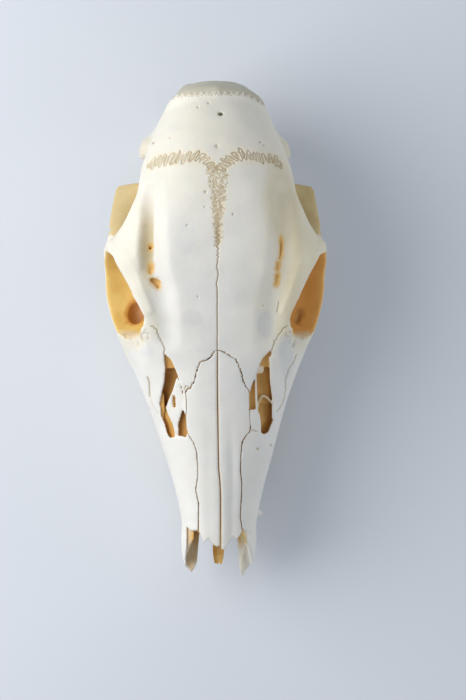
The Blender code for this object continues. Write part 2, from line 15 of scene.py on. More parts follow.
import bpy
import numpy as np
import openvdb
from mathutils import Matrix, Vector

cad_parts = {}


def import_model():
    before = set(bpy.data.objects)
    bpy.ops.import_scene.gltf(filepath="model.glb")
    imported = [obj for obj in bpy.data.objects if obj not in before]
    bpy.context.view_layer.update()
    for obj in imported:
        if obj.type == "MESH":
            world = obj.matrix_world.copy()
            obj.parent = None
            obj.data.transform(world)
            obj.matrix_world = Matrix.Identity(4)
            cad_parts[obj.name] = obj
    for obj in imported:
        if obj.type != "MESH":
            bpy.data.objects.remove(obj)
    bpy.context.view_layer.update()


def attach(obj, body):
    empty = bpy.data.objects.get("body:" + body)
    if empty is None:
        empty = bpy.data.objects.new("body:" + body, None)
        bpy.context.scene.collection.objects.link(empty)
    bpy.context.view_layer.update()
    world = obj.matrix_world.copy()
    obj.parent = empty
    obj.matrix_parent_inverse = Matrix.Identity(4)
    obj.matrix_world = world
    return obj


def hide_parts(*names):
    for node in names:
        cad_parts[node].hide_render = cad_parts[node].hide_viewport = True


MM = 0.001

# How finely the cranium is sampled, and the lengths of its edges after it is divided
FIELD_STEP = 0.55
CRANIUM_TRIANGLES = 62000
DETAIL_EDGE = 0.44
LONG_EDGE = 0.9
LONGEST_EDGE = 2.4

# The sampled box of the right half in x, y and z, the distance it is filled with at first, a place
# in front of the skull, and how many steps round a surface its distances are kept
FIELD_BOX = ((0.0, 56.0), (-124.0, 126.0), (-5.0, 108.0))
FAR = 60.0
FAR_FRONT = -130.0
BAND = 3

# The height maps of the fine relief
MAP_STEP = 0.12
MAP_WIDTH = 56.0
MAP_FRONT = -124.0
MAP_REAR = 122.0

# Places and sizes on the skull
SNOUT_TIP_Y = -119.4
OCCIPUT_Y = 113.0
NASAL_THICKNESS = 2.0
NASAL_REAR_Y = -9.8
LEDGE = 1.6
GROOVE_RADIUS = 6.0
SNOUT_BEND = 2.2
SNOUT_BEND_LENGTH = 75.0
TOOTH_ROW_FRONT_Y = -63.0
CROWN_HEIGHT = 9.0
TOOTH_HEIGHT = 17.0
NECK_SHARE = 0.86
SOCKET_GAP = 0.5
TOOTH_STEP = 0.32
TOOTH_TRIANGLES = 7000

# The broken front edge of the maxillae, seen from the side: where it starts, and its slope
BREAK_Y = -93.5
BREAK_HEIGHT = 57.5
BREAK_SLOPE = 1.12

# Carving: how far under the hull's roof it fades, over what height, its depth, and the bone's waves
SKIN_DEPTH = 7.0
SKIN_FADE = 3.0
DEEPEST_CARVING = 0.45
WAVE_HEIGHT = 0.16
WAVE_SIZE = 11.0
RELIEF_SEED = 11
CRANIUM_SEED = 3
NASAL_SEED = 5
NASAL_WAVE_SEED = 8
VOMER_SEED = 21

FLOOR_SIZE = 4.0
FLOOR_HEIGHT = -0.0003

# The camera of the photograph: straight above, with the skull rolled a little towards its left
SKULL_ROLL = math.radians(2.1)
ROLL_HEIGHT = 100.0
CAMERA_PLACE = (6.5, -9.0, 1000.0)
FOCAL_PIXELS = 2042.0
LONG_SIDE_PIXELS = 700.0
SENSOR = 36.0

# Sections of the hull along the skull: y, half width, top, widest height, bottom
HULL_STATIONS = (
    (-124, 16.0, 49.0, 32, 21.0), (-112, 16.6, 53.5, 32, 20.0), (-106, 17.4, 56.0, 33, 19.0),
    (-100, 17.8, 58.0, 34, 18.0), (-90, 17.6, 60.6, 36, 16.5), (-82, 18.9, 62.7, 38, 14.5),
    (-71, 21.5, 65.8, 39, 11.5), (-59, 24.9, 69.3, 40, 8.6), (-47, 28.4, 72.8, 41, 8.2),
    (-32, 33.2, 77.0, 42, 8.2), (-20, 37.6, 80.4, 46, 8.2), (-9, 41.9, 83.8, 51, 8.2),
    (0, 45.8, 87.0, 57, 8.6), (8, 48.6, 90.2, 61, 10.0), (15, 50.1, 93.0, 63, 18.0),
    (25, 50.7, 96.2, 65, 34.0), (34, 51.0, 98.2, 66, 38.0), (38, 49.4, 98.9, 66, 39.0),
    (41, 47.6, 99.4, 66, 39.5), (47, 44.2, 100.2, 66, 40.0), (54, 41.4, 101.0, 66, 40.0),
    (62, 37.9, 101.4, 65, 39.5), (69, 36.0, 101.3, 64, 39.0), (76, 33.6, 100.4, 63, 37.0),
    (84, 30.6, 98.2, 61, 34.0), (95, 25.8, 93.0, 58, 31.0), (102, 22.4, 88.8, 56, 30.0),
    (106.5, 20.4, 85.4, 55, 30.0), (110, 16.8, 82.0, 54, 31.0), (118, 9.0, 73.0, 53, 34.0),
)
# Exponents of the oval sections: y, above the widest height, below it
HULL_SHARPNESS = (
    (-124, 2.3, 3.0), (-60, 2.2, 4.0), (0, 2.2, 4.5), (38, 2.3, 4.0), (60, 2.4, 2.6), (118, 2.3, 2.1),
)
# Half width of the two nasal bones: y, x
NASAL_EDGE = (
    (-100, 9.0), (-92, 10.2), (-86, 9.6), (-77, 10.2), (-71, 10.2), (-65, 9.8), (-57, 10.1),
    (-51.5, 11.2), (-46.5, 14.3), (-38, 15.1), (-31, 15.1), (-27, 13.9), (-23.4, 10.9), (-18.5, 9.8),
    (-14, 7.2), (-11.6, 4.0), (NASAL_REAR_Y, 1.3),
)
# Upper opening of the orbit, as it is seen from above: x, y
ORBIT_WINDOW = (
    (46.5, 34.0), (42.2, 25.0), (37.6, 13.5), (33.4, 7.2), (34.0, 2.0), (39.0, -1.5), (62.0, -1.5),
    (62.0, 34.0),
)
# Teeth from front to back: name, length along the row, breadth, lobes
TEETH = (
    ("premolar_2", 10.5, 7.5, 1), ("premolar_3", 11.0, 9.5, 1), ("premolar_4", 11.0, 11.0, 1),
    ("molar_1", 13.0, 12.5, 2), ("molar_2", 15.0, 13.5, 2), ("molar_3", 15.5, 13.0, 2),
)
# Middle line of the tooth row: y, x
TOOTH_LINE = ((-63, 17.8), (-50, 20.2), (-30, 23.2), (-10, 25.0), (14, 25.4))
# Outer edge of each nasal bone from its front to its rear: x, y
NASAL_OUTLINE = {
    -1: (
        (-9.9, -92.0), (-9.9, -86.4), (-9.9, -79.4), (-11.3, -73.3), (-10.4, -67.6), (-10.3, -61.1),
        (-10.6, -55.5), (-11.8, -51.4), (-14.2, -47.4), (-14.9, -45.0), (-15.0, -39.9), (-14.5, -35.4),
        (-14.4, -31.6), (-14.7, -28.4), (-13.9, -26.9), (-12.5, -26.6), (-11.4, -24.8), (-10.4, -22.8),
        (-9.3, -18.5), (-7.6, -14.8), (-6.6, -14.2), (-3.6, -13.4), (-2.2, -11.6), (-0.9, -9.4),
    ),
    1: (
        (9.9, -92.0), (9.0, -86.0), (9.4, -76.6), (9.6, -70.5), (8.9, -64.4), (9.3, -56.9), (10.0, -50.9),
        (12.0, -47.6), (13.7, -46.4), (14.1, -43.0), (13.9, -36.4), (14.1, -29.0), (13.7, -27.2),
        (12.5, -25.4), (11.3, -23.3), (10.5, -19.4), (8.3, -13.4), (5.2, -11.7), (2.5, -9.9), (0.9, -9.2),
    ),
}
# Front edge of each nasal bone: share of its width from the gap outward, y
NASAL_FRONT_EDGE = {
    -1: (
        (0.0, -99.2), (0.12, -99.8), (0.28, -99.0), (0.5, -95.6), (0.62, -96.4), (0.75, -98.2),
        (0.88, -95.2), (1.0, -92.2),
    ),
    1: (
        (0.0, -101.0), (0.1, -101.2), (0.24, -99.8), (0.42, -96.4), (0.58, -95.0), (0.72, -96.6),
        (0.84, -95.6), (1.0, -93.0),
    ),
}
# Middle of the gap between the nasal bones, and of the suture behind it: y, x
GAP_LINE = ((-102, 0.2), (-78, 0.0), (-70, -0.3), (-63, -0.9), (-50, -0.8), (-30, -0.4), (-9, 0.1))
# Openings beside the nasal bones: x, y
VACUITY = {
    -1: (
        (-24.0, -10.5), (-21.0, -13.1), (-19.2, -17.1), (-17.1, -23.0), (-16.1, -26.2), (-15.1, -31.2),
        (-15.6, -33.6), (-16.0, -36.0), (-14.9, -39.9), (-14.2, -45.4), (-15.4, -48.9), (-17.1, -48.2),
        (-19.4, -48.6), (-22.6, -49.4), (-23.6, -47.6), (-24.7, -43.0), (-26.2, -38.9), (-26.5, -33.3),
        (-25.6, -29.0), (-24.1, -23.5), (-23.5, -18.1), (-23.7, -13.5),
    ),
    1: (
        (24.3, -9.0), (20.6, -12.5), (18.5, -16.8), (16.8, -21.4), (15.2, -25.2), (14.2, -28.8),
        (13.9, -36.0), (17.0, -36.0), (18.8, -38.6), (19.2, -42.8), (19.1, -46.8), (20.4, -47.6),
        (22.4, -46.9), (24.8, -41.7), (25.6, -37.1), (27.0, -33.3), (27.1, -27.8), (26.3, -22.4),
        (25.3, -15.8),
    ),
}
# Thin plates inside those openings: outline in x and y, depth under the roof, half thickness
VACUITY_PLATES = (
    (((-26.5, -8), (-17, -12), (-15, -24), (-14, -36.5), (-28, -36.5), (-27.5, -25)), 8.0, 0.8),
    (((-14, -34.5), (-13.5, -49), (-17, -51.5), (-24, -51), (-28, -38), (-27.5, -34.5)), 5.2, 0.8),
    (((-24.8, -8.6), (-22.2, -10.6), (-20.0, -13.0), (-18.4, -17.1), (-24.6, -17.8)), 2.7, 0.6),
    (((-18.4, -21.2), (-17.1, -23.9), (-15.8, -29.8), (-14.0, -33.5), (-15.7, -34.9), (-16.7, -37.2),
      (-18.6, -43.2), (-18.8, -51.5), (-20.2, -51.5), (-20.3, -47.4), (-21.2, -42.8), (-23.1, -38.3),
      (-23.9, -35.5), (-22.6, -31.8), (-20.6, -27.6)), 1.5, 0.9),
    (((-25.6, -26.5), (-24.4, -29.5), (-24.4, -36.0), (-25.4, -41.5), (-27.6, -38.0),
      (-27.8, -31.0)), 3.0, 0.7),
    (((27.0, -8.0), (17.0, -12.0), (15.8, -28.0), (16.0, -33.5), (28.0, -33.5), (28.0, -20.0)), 5.4, 0.8),
    (((15.5, -32.0), (15.5, -48.5), (22.0, -50.0), (29.0, -38.0), (28.5, -32.0)), 6.6, 0.8),
    (((24.4, -8.2), (22.0, -9.6), (18.4, -13.5), (17.2, -16.8), (24.6, -16.8)), 2.6, 0.6),
    (((17.0, -16.4), (20.8, -16.0), (21.3, -18.4), (20.2, -19.8), (17.2, -19.6)), 2.0, 0.9),
    (((16.8, -19.0), (17.6, -18.0), (17.8, -37.5), (16.9, -37.5)), 4.2, 3.4),
    (((16.8, -18.5), (16.8, -37.5), (11.8, -37.5), (11.8, -24.0)), 3.6, 0.7),
    (((23.6, -12.0), (26.5, -12.0), (27.6, -24.0), (27.2, -38.0), (24.6, -40.5), (24.8, -31.0),
      (23.8, -22.0)), 1.6, 1.4),
)
# The thin scroll of bone in the right opening: x, y, depth under the roof
CURL = ((17.4, -38.5, 2.6), (18.3, -33.4, 2.6), (20.0, -30.2, 2.8), (22.0, -30.4, 2.6), (24.4, -33.0, 1.8))
CURL_RADII = (0.5, 0.5, 0.6, 0.6, 0.5)
# The broken troughs in the front ends of the maxillae: x, y
PRONG_TROUGH = {
    -1: (
        (-15.0, -91.8), (-13.9, -93.2), (-10.7, -92.7), (-9.1, -94.0), (-9.1, -97.3), (-9.9, -100.6),
        (-10.0, -106.4), (-10.6, -109.4), (-11.7, -112.4), (-12.9, -114.4), (-14.9, -111.1),
        (-15.4, -107.2), (-15.1, -99.8),
    ),
    1: (
        (8.8, -94.9), (10.5, -92.5), (14.8, -94.2), (16.0, -100.2), (15.9, -106.0), (14.2, -110.5),
        (11.9, -115.4), (11.0, -116.4), (10.4, -113.8), (9.7, -106.4), (9.2, -98.2),
    ),
}
# Strip of bone along the brow's edge over each orbit: x, y
BROW_STRIP = {
    -1: (
        (-46.0, 34.0), (-44.4, 29.3), (-41.7, 24.0), (-38.6, 17.8), (-37.2, 14.2), (-35.0, 12.0),
        (-32.6, 8.4), (-30.4, 8.6), (-32.2, 13.0), (-34.2, 17.0), (-36.6, 23.0), (-39.4, 29.0),
        (-42.0, 34.0),
    ),
    1: (
        (44.6, 34.6), (42.3, 29.5), (40.5, 25.9), (38.7, 20.5), (36.5, 14.7), (33.3, 10.2), (31.9, 7.4),
        (30.0, 8.4), (31.6, 12.4), (33.8, 17.0), (35.8, 23.0), (38.0, 29.0), (40.6, 34.6),
    ),
}
# The plate in which the zygomatic arch ends behind the orbit, and what lies outside it: x, y
ARCH_PLATE = (
    (32, 66.5), (38, 68.2), (45.0, 67.3), (46.2, 65.6), (48.4, 51.5), (47.6, 42), (42, 42), (38, 52),
)
ARCH_OUTSIDE = (
    (30, 68.6), (37, 68.6), (45.3, 67.6), (46.5, 65.6), (49.0, 51.5), (49.6, 45), (60, 45), (60, 80),
    (30, 80),
)
# Points of the groove between brow and dome with its small openings, and their radii: x, y, depth
BROW_GROOVE = ((-31.6, 62, -1.6), (-31.2, 52, -0.4), (-30.8, 43, 0.8), (-30.7, 35, 1.2), (-31.0, 27, 0.4))
BROW_GROOVE_RADII = (2.2, 2.8, 3.2, 3.0, 2.2)
BROW_OPENINGS = (
    (((-29.8, 37.4, 3.6), (-29.9, 35.8, 6.6)), (0.8, 0.6)),
    (((-30.2, 29.2, 3.0), (-29.6, 27.4, 3.8), (-29.9, 25.6, 3.6)), (0.6, 0.8, 0.5)),
    (((-29.6, 22.6, 3.6), (-28.0, 21.6, 3.6), (-26.3, 21.2, 3.8)), (0.7, 1.2, 0.9)),
    (((-27.2, 20.6, 3.6), (-26.4, 19.2, 4.0)), (0.9, 0.7)),
    (((28.2, 41.0, 3.0), (28.3, 36.5, 4.0), (27.7, 32.0, 4.0)), (0.3, 0.55, 0.4)),
    (((27.0, 29.4, 3.2), (26.7, 27.2, 3.6)), (0.7, 0.6)),
    (((26.9, 24.0, 3.6), (26.5, 20.4, 3.2)), (0.75, 0.5)),
)
# The larger pits and foramina of the roof: x, y, radius, stain
PITS = (
    (-8.7, 99.4, 0.5, 0.5), (-21.2, 85.9, 0.4, 0.35), (-28.8, 84.5, 0.55, 0.9), (-0.5, 81.0, 0.7, 0.5),
    (18.8, 83.4, 0.5, 0.55), (20.6, 82.2, 0.45, 0.5), (-3.9, 101.2, 0.5, 0.4), (17.3, -54.4, 0.5, 0.9),
    (24.0, -53.0, 0.55, 0.8), (-5.6, 60.6, 0.55, 0.6), (6.6, 50.8, 0.5, 0.5), (-13.6, 46.0, 0.5, 0.35),
    (-5.9, 54.0, 0.35, 0.4), (-8.7, 14.6, 0.4, 0.35), (20.4, 10.8, 0.4, 0.4), (-31.4, -36.0, 0.35, 0.5),
)
# Colours of the cranium and the nasal bones: linear red, green and blue. The occiput's olive-grey is
# painted shade, and the cream, grey-blue, tan and brown partly paint shade too.
BONE = {
    "light": (0.83, 0.815, 0.77), "plain": (0.785, 0.765, 0.71), "broad": (0.79, 0.77, 0.71),
    "clouds": (0.70, 0.70, 0.69), "specks": (0.66, 0.60, 0.48), "cream_and_side_shade": (0.79, 0.72, 0.52),
    "grey_patch_and_shade": (0.60, 0.62, 0.62), "warm": (0.82, 0.74, 0.55), "occiput_shade": (0.54, 0.515, 0.41),
    "light tan": (0.62, 0.51, 0.28), "dark tan": (0.55, 0.42, 0.20), "honey": (0.78, 0.56, 0.19),
    "dark honey": (0.70, 0.45, 0.12), "orange": (0.78, 0.36, 0.07), "brown": (0.50, 0.25, 0.07),
    "dark brown": (0.38, 0.17, 0.04), "suture": (0.40, 0.27, 0.10),
}


def unit(values):
    """The values, held between 0 and 1."""
    return np.clip(values, 0, 1)


def curve(points):
    """A smooth function through the points (place, value)."""
    places, values = np.array(points, float).T
    slopes = np.gradient(values, places)

    def at(place):
        place = np.asarray(place, float)
        i = np.clip(np.searchsorted(places, place) - 1, 0, len(places) - 2)
        span = places[i + 1] - places[i]
        t = np.clip((place - places[i]) / span, 0.0, 1.0)
        return (
            values[i] * (1 + 2 * t) * (1 - t) ** 2
            + slopes[i] * span * t * (1 - t) ** 2
            + values[i + 1] * t**2 * (3 - 2 * t)
            - slopes[i + 1] * span * t**2 * (1 - t)
        )

    return at


half_width = curve([(s[0], s[1]) for s in HULL_STATIONS])
top_height = curve([(s[0], s[2]) for s in HULL_STATIONS])
mid_height = curve([(s[0], s[3]) for s in HULL_STATIONS])
low_height = curve([(s[0], s[4]) for s in HULL_STATIONS])
upper_power = curve([(s[0], s[1]) for s in HULL_SHARPNESS])
lower_power = curve([(s[0], s[2]) for s in HULL_SHARPNESS])
nasal_edge = curve(sorted(NASAL_EDGE))
tooth_line = curve(TOOTH_LINE)


def roof(x, y):
    """Height of the hull's upper surface over a point."""
    share = np.clip(np.abs(x) / half_width(y), 0.0, 0.999)
    power = upper_power(y)
    rise = (1 - share**power) ** (1 / power)
    return mid_height(y) + (top_height(y) - mid_height(y)) * rise


def bend(y):
    """How far the snout leans to the right: 0 behind y = 0, SNOUT_BEND at its front."""
    share = unit(-np.asarray(y, float) / SNOUT_BEND_LENGTH)
    return SNOUT_BEND * share**2 * (3 - 2 * share)


class Shape:
    """A distance function and the box outside which it is surely positive."""

    def __init__(self, distance, low, high):
        self.distance = distance
        self.low = low
        self.high = high


def oval_distance(u, v, width, height, power):
    """Distance to the oval |u/width|^power + |v/height|^power = 1, to first order."""
    u = np.abs(u) / width + 1e-4
    v = np.abs(v) / height + 1e-4
    reach = (u**power + v**power) ** (1 / power)
    slope_u = (u / reach) ** (power - 1) / width
    slope_v = (v / reach) ** (power - 1) / height
    return (reach - 1) / np.sqrt(slope_u**2 + slope_v**2)


def tube_along_y(width, height, middle, front_y, rear_y, power=2.0, low=-20.0, high=120.0):
    """An oval tube along the skull, whose half width, half height and middle are functions of y."""

    def distance(x, y, z):
        across = oval_distance(x, z - middle(y), width(y), height(y), power)
        return np.maximum(across, np.maximum(front_y - y, y - rear_y))

    most = float(np.max(width(np.linspace(front_y, rear_y, 60))))
    return Shape(distance, (-most, front_y, low), (most, rear_y, high))


def ellipsoid(middle, radii):
    def distance(x, y, z):
        offsets = [(p - m) / r for p, m, r in zip((x, y, z), middle, radii)]
        reach = np.sqrt(sum(o * o for o in offsets)) + 1e-6
        slope = np.sqrt(sum((o / r) ** 2 for o, r in zip(offsets, radii))) + 1e-6
        return reach * (reach - 1) / slope

    return Shape(
        distance,
        tuple(m - r for m, r in zip(middle, radii)),
        tuple(m + r for m, r in zip(middle, radii)),
    )


def strut(points, radii, squash=(1.0, 1.0, 1.0), samples=6):
    """A round bar along a smooth line through the points, flattened by squash."""
    places = np.arange(len(points))
    along = np.linspace(0, len(points) - 1, (len(points) - 1) * samples + 1)
    line = np.stack(
        [curve(np.stack([places, column], 1))(along) for column in np.array(points, float).T], 1
    )
    sizes = curve(np.stack([places, radii], 1))(along)
    stretch = 1 / np.array(squash)

    def distance(x, y, z):
        nearest = None
        for start, end, r0, r1 in zip(line, line[1:], sizes, sizes[1:]):
            run = (end - start) * stretch
            offset = [(p - s) * k for p, s, k in zip((x, y, z), start, stretch)]
            share = sum(o * r for o, r in zip(offset, run)) / max(run @ run, 1e-6)
            share = unit(share)
            gap = np.sqrt(sum((o - share * r) ** 2 for o, r in zip(offset, run)))
            gap = gap - (r0 + (r1 - r0) * share)
            nearest = gap if nearest is None else np.minimum(nearest, gap)
        return nearest * min(squash)

    reach = sizes.max() * max(squash)
    return Shape(distance, tuple(line.min(0) - reach), tuple(line.max(0) + reach))


def polygon_distance(u, v, corners):
    """Signed distance to a closed outline in a plane, negative inside."""
    nearest = None
    inside = False
    for (u0, v0), (u1, v1) in zip(corners, corners[1:] + corners[:1]):
        run_u, run_v = u1 - u0, v1 - v0
        share = ((u - u0) * run_u + (v - v0) * run_v) / (run_u**2 + run_v**2)
        share = unit(share)
        gap = (u - u0 - share * run_u) ** 2 + (v - v0 - share * run_v) ** 2
        nearest = gap if nearest is None else np.minimum(nearest, gap)
        if run_v:
            crosses = (v0 > v) != (v1 > v)
            inside = inside ^ (crosses & (u < (v - v0) * run_u / run_v + u0))
    return np.where(inside, -1, 1) * np.sqrt(nearest)


def upright_prism(corners, bottom, top=130.0):
    """An outline in x and y, swept up from bottom to top."""
    corners = list(corners)

    def distance(x, y, z):
        side = polygon_distance(x, y, corners)
        return np.maximum(side, np.maximum(bottom - z, z - top))

    xs, ys = zip(*corners)
    return Shape(distance, (min(xs), min(ys), bottom), (max(xs), max(ys), top))


def side_plate(corners, inner_x, outer_x):
    """An outline in y and z, swept from inner_x to outer_x."""
    corners = list(corners)

    def distance(x, y, z):
        side = polygon_distance(y, z, corners)
        return np.maximum(side, np.maximum(inner_x - x, x - outer_x))

    ys, zs = zip(*corners)
    return Shape(distance, (inner_x, min(ys), min(zs)), (outer_x, max(ys), max(zs)))


def rounded_box(middle, half_sizes, rounding):
    def distance(x, y, z):
        over = [
            np.abs(p - m) - (h - rounding) for p, m, h in zip((x, y, z), middle, half_sizes)
        ]
        outside = np.sqrt(sum(np.maximum(o, 0) ** 2 for o in over))
        inside = np.minimum(np.maximum(np.maximum(over[0], over[1]), over[2]), 0)
        return outside + inside - rounding

    return Shape(
        distance,
        tuple(m - h for m, h in zip(middle, half_sizes)),
        tuple(m + h for m, h in zip(middle, half_sizes)),
    )


def row_function(points):
    """A straight-lined function through (place, value) points."""
    places, values = np.array(sorted(points), float).T
    return lambda place: np.interp(place, places, values)


gap_line = row_function(GAP_LINE)
# Half width of the nose's inside, and the courses of the coronal suture and the occiput's edge
nose_half = row_function([
    (-130, 13), (-100, 14), (-82, 15.2), (-59, 20.2), (-32, 28.2), (-20, 29), (-8, 22), (12, 12),
])
coronal_line = row_function([
    (-31, 72.6), (-28, 75.6), (-7.2, 76), (-4, 73.6), (0, 70), (4.3, 74.4), (8, 77), (25, 76.2),
    (29.4, 72.6),
])
rear_line = row_function([
    (-24, 103.0), (-17.5, 105.4), (-8.6, 105.3), (0.3, 105.6), (9.3, 105.6), (14.9, 105.0),
    (21.0, 102.0),
])
# Shapes that are cut out of the field and looked up again for their stains
ORBIT = ellipsoid((46, 16, 70), (24, 19.6, 17))
BRAIN_HOLLOW = ellipsoid((0, 70, 68), (24, 35, 23))
ORBIT_HOLE = ellipsoid((-36.4, 7.8, 56.0), (3.9, 5.4, 5.4))
ORBIT_SLIT = strut([(39.5, 9.4, 55.0), (38.6, 5.9, 56.2), (37.3, 3.6, 58.2)], (0.5, 0.7, 0.5))
ARCH_CRACK = strut(
    [(-53.0, 48.0, 48.0), (-48.0, 46.6, 48.0), (-44.5, 46.9, 48.0)], (0.9, 0.6, 0.4), (1, 1, 5)
)


def corner_fill(old, new, blend):
    """What fills or opens the corner between two distances that meet within blend."""
    overlap = np.maximum(blend - np.abs(old - new), 0) / blend
    return overlap**2 * blend / 4


class Field:
    """Space sampled every step, on the right half x >= 0 at first."""

    def __init__(self, step):
        self.step = step
        self.axes = [
            np.arange(math.floor(low / step), math.ceil(high / step) + 1) * step
            for low, high in FIELD_BOX
        ]
        self.value = np.full([len(a) for a in self.axes], FAR, np.float32)

    def mirror(self):
        """Adds the left half."""
        self.value = np.concatenate([self.value[:0:-1], self.value])
        self.axes[0] = np.concatenate([-self.axes[0][:0:-1], self.axes[0]])

    def samples(self, shape, margin):
        """The slices that hold the shape's box, and their coordinates."""
        slices = []
        for axis, low, high in zip(self.axes, shape.low, shape.high):
            start = np.searchsorted(axis, low - margin)
            end = np.searchsorted(axis, high + margin)
            slices.append(slice(max(start, 0), max(end, 1)))
        x, y, z = (axis[s] for axis, s in zip(self.axes, slices))
        return tuple(slices), (x[:, None, None], y[None, :, None], z[None, None, :])

    def add(self, shape, blend=1.0):
        slices, place = self.samples(shape, blend + 3)
        old, new = self.value[slices], shape.distance(*place)
        self.value[slices] = np.minimum(old, new) - corner_fill(old, new, blend)

    def cut(self, shape, blend=1.0):
        slices, place = self.samples(shape, blend + 3)
        old, new = self.value[slices], -shape.distance(*place)
        self.value[slices] = np.maximum(old, new) + corner_fill(old, new, blend)

    def surface(self):
        """Points and triangles of the zero surface."""
        return zero_surface(self.value, self.axes, self.step)


def zero_surface(value, axes, step):
    """Points and triangles of the surface on which sampled distances are zero."""
    grid = openvdb.FloatGrid(float(BAND))
    start = [round(axis[0] / step) for axis in axes]
    grid.copyFromArray(np.clip(value / step, -BAND, BAND).astype(np.float32), ijk=start)
    points, triangles, quads = grid.convertToPolygons(isovalue=0.0, adaptivity=0.0)
    faces = np.concatenate([triangles, quads[:, [0, 1, 2]], quads[:, [0, 2, 3]]])
    points = points.astype(float) * step
    return points, outward(points, faces.astype(np.int64))


def outward(points, faces):
    """The faces, all turned round if they enclose a negative volume."""
    a, b, c = points[faces].transpose(1, 0, 2)
    return faces if np.sum(a * np.cross(b, c)) > 0 else faces[:, ::-1]


def everywhere(distance):
    return Shape(distance, (-60.0, -130.0, -10.0), (60.0, 130.0, 115.0))


def hull(x, y, z):
    width, top, mid, low = half_width(y), top_height(y), mid_height(y), low_height(y)
    above = z > mid
    height = np.where(above, top - mid, mid - low)
    power = np.where(above, upper_power(y), lower_power(y))
    return oval_distance(x, z - mid, width, height, power)


def occiput_end(x, y, z):
    """Behind the occipital plane, which leans back a little towards its foot."""
    return OCCIPUT_Y + (75 - z) * 0.04 - y


def break_height(y):
    """Height of the maxillae's broken front edge."""
    return BREAK_HEIGHT + (y - BREAK_Y) * BREAK_SLOPE


def snout_front(x, y, z):
    """Above the oblique front edges of the maxillae, where the premaxillae were."""
    return 0.68 * (break_height(y) - z)


def add_hull(field):
    field.add(everywhere(hull), 0.1)
    field.cut(everywhere(occiput_end), 5.0)
    field.cut(everywhere(snout_front), 1.0)


def cut_orbit_and_fossae(field):
    field.cut(ORBIT, 2.0)
    field.cut(upright_prism(ORBIT_WINDOW, 68.0), 2.0)
    field.cut(ellipsoid((50, 61.5, 64), (21, 18.5, 19)), 2.5)
    field.cut(rounded_box((31, 47, 22), (17, 31, 31), 12.0), 4.0)
    field.cut(rounded_box((46, 62, 22), (20, 17, 33), 10.0), 3.0)


def add_zygomatic_arch(field):
    arch = [(26, 66, 50), (34, 65.5, 47), (41, 62.5, 46), (44.2, 54, 46.5), (45.6, 46, 49)]
    arch.append((46.3, 36, 52))
    field.add(strut(arch, (7, 5.4, 4.6, 4.2, 3.6, 3.8), (1.0, 1.0, 0.85)), 3.0)
    shelf = [(31, 66, 46), (37, 60, 44), (41, 52, 45.5), (44, 44, 49)]
    field.add(strut(shelf, (4.6, 4.2, 3.6, 2.6), (1.2, 1.0, 0.7)), 3.0)
    bar = [(47.2, 36, 52), (48.0, 37.5, 62), (46.6, 38.5, 74)]
    field.add(strut(bar, (3.4, 2.8, 3.0)), 2.0)
    jugal = [(46.8, 38, 52), (46.4, 20, 49.5), (42.4, 3, 46), (37, -12, 40)]
    field.add(strut(jugal, (3.6, 3.4, 3.6, 3.6)), 3.0)


def add_braincase_base(field):
    field.add(ellipsoid((28, 84, 47), (7.0, 6.5, 12)), 4.0)
    field.add(strut([(31.5, 82, 43), (24, 82, 41)], (4.2, 5.0)), 2.0)
    field.add(ellipsoid((18, 78, 34), (7, 11, 9)), 2.0)
    crest = [(0, 106.5, 84.5), (12, 105.8, 81), (18.4, 103, 74), (21, 98, 64), (25, 92, 54)]
    crest.append((29, 86, 46))
    field.add(strut(crest, (3.2, 3.0, 2.4, 2.2, 2.4, 3.0)), 4.0)
    process = [(24, 89, 44), (24.5, 92, 30), (23.5, 94, 15), (22.5, 94, -4)]
    field.add(strut(process, (8.0, 6.6, 5.4, 4.0), (0.65, 1.0, 1.0)), 3.0)
    field.add(ellipsoid((11.0, 106, 38.5), (8.0, 10.2, 11.0)), 3.0)
    field.add(strut([(10, 104, 32), (6, 96, 30)], (5.0, 4.0)), 3.0)


def add_pterygoids(field):
    outline = [(8, 12), (17, 14), (28, 22), (40, 33), (54, 42), (50, 54), (8, 54)]
    field.add(side_plate(outline, 9.0, 12.4), 3.0)


def cut_braincase(field):
    field.cut(BRAIN_HOLLOW, 1.0)
    field.cut(strut([(0, 95, 54), (0, 122, 46)], (9.0, 9.4), (1.0, 1.0, 0.9)), 1.5)
    field.cut(strut([(40, 82.5, 43), (25, 82, 41)], (2.6, 2.2)), 1.0)


def cut_nasal_cavity(field):
    floor = curve([(-130, 28), (-90, 25), (-75, 23), (-60, 21), (14, 21)])
    ceiling = curve(
        [(-130, 51), (-100, 54.6), (-59, 66.0), (-20, 77.0), (-8, 78), (4, 72), (12, 60)]
    )
    front_widths = [(-130, 13), (-100, 14), (-82, 15.2), (-59, 20.2)]
    width = curve(front_widths + [(-32, 28.2), (-20, 29), (-8, 20), (4, 15), (12, 9)])
    cavity = tube_along_y(
        width,
        lambda y: (ceiling(y) - floor(y)) / 2,
        lambda y: (ceiling(y) + floor(y)) / 2,
        FAR_FRONT,
        12.0,
        2.1,
    )
    field.cut(cavity, 1.5)
    choana = tube_along_y(
        lambda y: 8.0, lambda y: 8.5, lambda y: 29.0, -12.0, 60.0, 2.4
    )
    field.cut(choana, 1.5)


